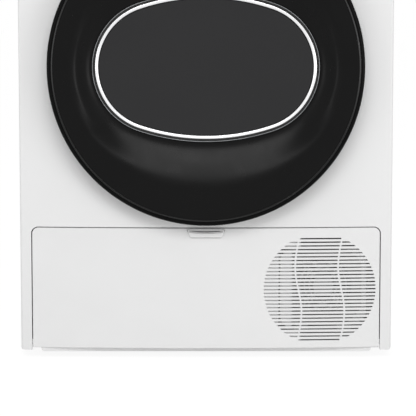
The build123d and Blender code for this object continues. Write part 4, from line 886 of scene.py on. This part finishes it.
readout = Build()
middle = ((lens_low[0] + lens_high[0]) / 2 / MM, (lens_low[2] + lens_high[2]) / 2 / MM)
print_figures(readout, lens_y, "1:25", middle, 17.0, 1.8)
dashes, dash_half, dash_pitch, dash_z = 5, 6, 17, middle[1] - 15
for k in range(dashes):
    x = middle[0] + (k - (dashes - 1) / 2) * dash_pitch
    print_line(readout, lens_y, (x - dash_half, dash_z), (x + dash_half, dash_z), 1.2)
readout.make("display_figures", "display_glass", "cabinet", look=glow)
lens_edge = Build()
half_x = (lens_high[0] - lens_low[0]) / 2 / MM - lens_corner
half_z = (lens_high[2] - lens_low[2]) / 2 / MM - lens_corner
edge_path = []
for (u, v), start in (((1, 1), 0), ((-1, 1), 90), ((-1, -1), 180), ((1, -1), 270)):
    for k in range(5):
        turn = radians(start + 22.5 * k)
        x = middle[0] + u * half_x + edge_corner * cos(turn)
        edge_path.append((x, middle[1] + v * half_z + edge_corner * sin(turn)))
lens_edge.wire(
    [(x * MM, front_y(x * MM) - 0.05 * MM, z * MM) for x, z in edge_path + edge_path[:1]], 0.35, 6
)
lens_edge.make("display_edge", "silver_trim", "cabinet")

symbol_line, symbol_inset = 0.8, 0.02
for node, drawing in (
    ("power_button", (("arc", 3.6, 120, 420), ((0, 1.2), (0, 4.4)))),
    (
        "start_button",
        (
            ((-4, -3), (-4, 3)), ((-4, 3), (0.6, 0)), ((0.6, 0), (-4, -3)),
            ((2.4, -3), (2.4, 3)), ((4.4, -3), (4.4, 3)),
        ),
    ),
    ("time_button", (("arc", 4.2, 0, 360), ((0, 0), (0, 3)), ((0, 0), (2.2, 0)))),
    ("option_button", (((-4, 2.6), (4, 2.6)), ((-4, 0), (4, 0)), ((-4, -2.6), (4, -2.6)))),
):
    cap_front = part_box(node)[0][1] + symbol_inset * MM
    centre = spot(node) / MM
    symbol = Build()

    def cap_y(x, flat=cap_front):
        return flat

    for form in drawing:
        if form[0] == "arc":
            print_arc(symbol, cap_y, (centre[0], centre[2]), *form[1:], symbol_line)
        else:
            ends = [(centre[0] + u, centre[2] + v) for u, v in form]
            print_line(symbol, cap_y, *ends, symbol_line)
    symbol.make(f"{node}_symbol", "dark_plastic", f"{node}_cap")
    bezel = Build()
    bezel.turned(
        (centre[0] * MM, front_y(centre[0] * MM), centre[2] * MM),
        (0, -1, 0),
        ((-0.4, 10.7), (0.5, 10.8), (0.7, 11.2), (0.5, 12.0), (-0.4, 12.4)),
        48,
        closed=True,
    )
    bezel.make(f"{node}_bezel", "silver_trim", "cabinet")


# ---- Back: screws, louvre hoods and the gland's grip -------------------------

side_rows = [(x, z) for x in (-288, 288) for z in (62, 200, 338, 476, 614, 752)]
end_rows = [(x, z) for x in (-190, -64, 64, 190) for z in (24, 807)]
panel_screw_radius = 4.6
screws = Build()
for x, z in side_rows + end_rows:
    screws.screw(Vector((x * MM, back_y, z * MM)), (0, 1, 0), panel_screw_radius)
for x in (-262, 262):
    screws.screw(Vector((x * MM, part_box("worktop")[1][1], 832 * MM)), (0, 1, 0))
screws.make("rear_screws", "bright_steel", "cabinet", look=finishes["cast_zinc"])

hood_section = (
    (0, 4.4), (1.8, 3.0), (3.0, 0.6), (3.4, -1.8), (2.6, -1.8), (2.2, 0.4), (1.2, 2.2), (0, 3.2),
)
hood_rows, hood_half, hood_pitch, hoods_z = 6, 37, 12, 200
hoods = Build()
for x in (-215, 215):
    for k in range(hood_rows):
        z = hoods_z + hood_pitch * (k - (hood_rows - 1) / 2)
        rings = []
        for n in range(21):
            t = n / 10 - 1
            rise = sqrt(max(1 - abs(t) ** 6, 0.0004))
            rings.append(
                [
                    Vector((x + hood_half * t, back_y / MM + out * rise - 0.02, z + up)) * MM
                    for out, up in hood_section
                ]
            )
        hoods.loops(rings)
hoods.make("louvre_hoods", "galvanised", "cabinet")

gland = spot("cable_gland")
gland_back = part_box("cable_gland")[1][1]
flute_count, flute_radius = 16, 8.9 * MM
flutes = Build()
for k in range(flute_count):
    angle = TAU * k / flute_count
    out = Vector((cos(angle), 0, sin(angle)))
    base = Vector((gland[0], gland_back, gland[2])) + out * flute_radius
    ends = [base - Vector((0, inset * MM, 0)) for inset in (5.5, 0.8)]
    flutes.stroke(*ends, 1.2, 0.6, out)
flutes.make("gland_flutes", "dark_plastic", "cabinet")


# ---- Inside: drum, door inside, heat exchanger cover --------------------------

drum_low, drum_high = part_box("drum_shell")
drum_z = (drum_low[2] + drum_high[2]) / 2 / MM
drum_sheet = 1.0
drum_wall = drum_high[0] / MM - drum_sheet
drum_back = drum_high[1] / MM - drum_sheet
dimples_round, dimple_rows = 42, 10
lifter_turns, lifter_clear = (30, 150, 270), 9  # degrees; no dimples on the lifters
dimples = Build()
for k in range(dimples_round):
    for row in range(dimple_rows):
        turn = (k + 0.5 * (row % 2)) / dimples_round * 360
        if min(abs((turn - at + 180) % 360 - 180) for at in lifter_turns) < lifter_clear:
            continue
        out = Vector((cos(radians(turn)), 0, sin(radians(turn))))
        base = Vector((0, -190 + 41 * row, drum_z)) * MM + out * drum_wall * MM
        dimples.turned(base, -out, ((-0.2, 6.0), (0.5, 4.8), (0.9, 2.8), (1.0, 0.01)), 10)
dimples.make("drum_dimples", "stainless", "drum", 60.0)

grid_radius, grid_pitch = 13.2, 2.9
grid_collar = ((0.0, grid_radius), (0.7, 13.4), (0.7, 15.2), (0.0, 15.6))
grids = Build()
for ring, count in ((120, 6), (200, 10)):
    for k in range(count):
        angle = TAU * k / count
        middle = Vector((ring * cos(angle), drum_back, drum_z + ring * sin(angle))) * MM
        grids.turned(middle, (0, -1, 0), grid_collar, 32, closed=True)
        for line in range(-4, 5):
            offset = line * grid_pitch
            half = sqrt(grid_radius**2 - offset**2)
            for bar in (((offset, -half), (offset, half)), ((-half, offset), (half, offset))):
                ends = [middle + Vector((x, 0.3, z)) * MM for x, z in bar]
                grids.stroke(*ends, 0.8, 0.5, (0, -1, 0))
for radius in (60.0, 160.0, 240.0):
    grids.turned(
        Vector((0, drum_back, drum_z)) * MM,
        (0, -1, 0),
        ((0, radius - 3.5), (0.9, radius - 2), (1.1, radius), (0.9, radius + 2), (0, radius + 3.5)),
        96,
        closed=True,
    )
grids.make("drum_back_grids", "stainless", "drum")

shell_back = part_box("door_inner_shell")[1][1]
fixing_count, fixing_radius = 8, 181.5 * MM
fixings = Build()
for k in range(fixing_count):
    angle = TAU * (k + 0.5) / fixing_count
    x, z = fixing_radius * cos(angle), door_z + fixing_radius * sin(angle)
    fixings.screw(Vector((x, shell_back, z)), (0, 1, 0), 3.2)
fixings.make("door_shell_screws", "bright_steel", "door")

cover_low, cover_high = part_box("evaporator_cover")
rib_y = cover_low[1] + 0.1 * MM
rib_left, rib_right = cover_low[0] + 60 * MM, cover_high[0] - 60 * MM
ribs = Build()
for k in range(4):
    inset = (22 + 9 * k) * MM
    for z in (cover_low[2] + inset, cover_high[2] - inset):
        ribs.stroke((rib_left, rib_y, z), (rib_right, rib_y, z), 3.0, 1.3, (0, -1, 0))
ribs.make("cover_ribs", "grey_plastic", "cabinet")


# ---- Camera ----------------------------------------------------------------

camera_distance = 3.480
camera_height = 0.670
camera_side = 0.0032
camera_tilt = radians(7.0)

eye = bpy.data.cameras.new("camera")
eye.lens = 189.5
eye.sensor_width = 36.0
eye.clip_end = 50.0
camera = bpy.data.objects.new("camera", eye)
camera.location = (camera_side, corner_y - camera_distance, camera_height)
camera.rotation_euler = (radians(90.0) - camera_tilt, 0.0, 0.0)
bpy.context.collection.objects.link(camera)
bpy.context.scene.camera = camera

# ---- Studio ----------------------------------------------------------------


def seen_or_not(tree, output, unseen, seen):
    """Shows one shader to camera, mirror and glass rays and the other to all the rest."""
    nodes, links = tree.nodes, tree.links
    path = nodes.new("ShaderNodeLightPath")
    either = nodes.new("ShaderNodeMath")
    any_seen = nodes.new("ShaderNodeMath")
    either.operation = any_seen.operation = "MAXIMUM"
    links.new(path.outputs["Is Camera Ray"], either.inputs[0])
    links.new(path.outputs["Is Glossy Ray"], either.inputs[1])
    links.new(either.outputs["Value"], any_seen.inputs[0])
    links.new(path.outputs["Is Transmission Ray"], any_seen.inputs[1])
    mix = nodes.new("ShaderNodeMixShader")
    links.new(any_seen.outputs["Value"], mix.inputs["Fac"])
    links.new(unseen, mix.inputs[1])
    links.new(seen, mix.inputs[2])
    links.new(mix.outputs["Shader"], output.inputs["Surface"])


def paper(name):
    """Background white that camera, mirror and glass rays see; other rays see plain pale grey."""
    mat = bpy.data.materials.new(name)
    mat.use_nodes = True
    nodes, links = mat.node_tree.nodes, mat.node_tree.links
    nodes.clear()
    output = nodes.new("ShaderNodeOutputMaterial")
    plain = nodes.new("ShaderNodeBsdfDiffuse")
    plain.inputs["Color"].default_value = (0.86, 0.86, 0.86, 1.0)
    shadow = nodes.new("ShaderNodeBsdfDiffuse")
    shadow.inputs["Color"].default_value = (0.14, 0.14, 0.14, 1.0)
    glow = nodes.new("ShaderNodeEmission")
    glow.inputs["Strength"].default_value = 0.925
    white = nodes.new("ShaderNodeAddShader")
    links.new(shadow.outputs["BSDF"], white.inputs[0])
    links.new(glow.outputs["Emission"], white.inputs[1])
    seen_or_not(mat.node_tree, output, plain.outputs["BSDF"], white.outputs["Shader"])
    return mat


floor_mesh = bpy.data.meshes.new("floor")
floor_half = 12.0
floor_mesh.from_pydata(
    [(x * floor_half, y * floor_half, 0.0) for x, y in ((-1, -1), (1, -1), (1, 1), (-1, 1))],
    [],
    [(0, 1, 2, 3)],
)
floor = bpy.data.objects.new("floor", floor_mesh)
floor.data.materials.append(paper("paper"))
bpy.context.collection.objects.link(floor)


def studio_world():
    """Soft grey light from all round, which camera, mirror and glass rays see as white."""
    world = bpy.data.worlds.new("studio")
    bpy.context.scene.world = world
    world.use_nodes = True
    nodes = world.node_tree.nodes
    nodes.clear()
    output = nodes.new("ShaderNodeOutputWorld")
    soft = nodes.new("ShaderNodeBackground")
    white = nodes.new("ShaderNodeBackground")
    for light, strength in ((soft, 0.52), (white, 1.0)):
        light.inputs["Color"].default_value = (1.0, 1.0, 1.0, 1.0)
        light.inputs["Strength"].default_value = strength
    seen_or_not(
        world.node_tree, output, soft.outputs["Background"], white.outputs["Background"]
    )


def softbox(name, place, aim, size, power):
    """Rectangular area lamp aimed at a point, size in metres and power in watts."""
    lamp = bpy.data.lights.new(name, "AREA")
    lamp.shape = "RECTANGLE"
    lamp.size, lamp.size_y = size
    lamp.energy = power
    obj = bpy.data.objects.new(name, lamp)
    obj.location = place
    obj.rotation_euler = (Vector(aim) - Vector(place)).to_track_quat("-Z", "Y").to_euler()
    bpy.context.collection.objects.link(obj)


studio_world()
side_aim, side_size = (0.0, corner_y, 0.4), (1.6, 1.2)
softbox("front_high", (0.0, corner_y - 2.3, 2.05), (0.0, corner_y, 0.36), (1.9, 1.1), 28.0)
softbox("front_left", (-2.4, corner_y - 2.4, 0.6), side_aim, side_size, 9.0)
softbox("front_right", (2.4, corner_y - 2.4, 0.6), side_aim, side_size, 17.0)

bpy.context.scene.view_settings.view_transform = "Standard"
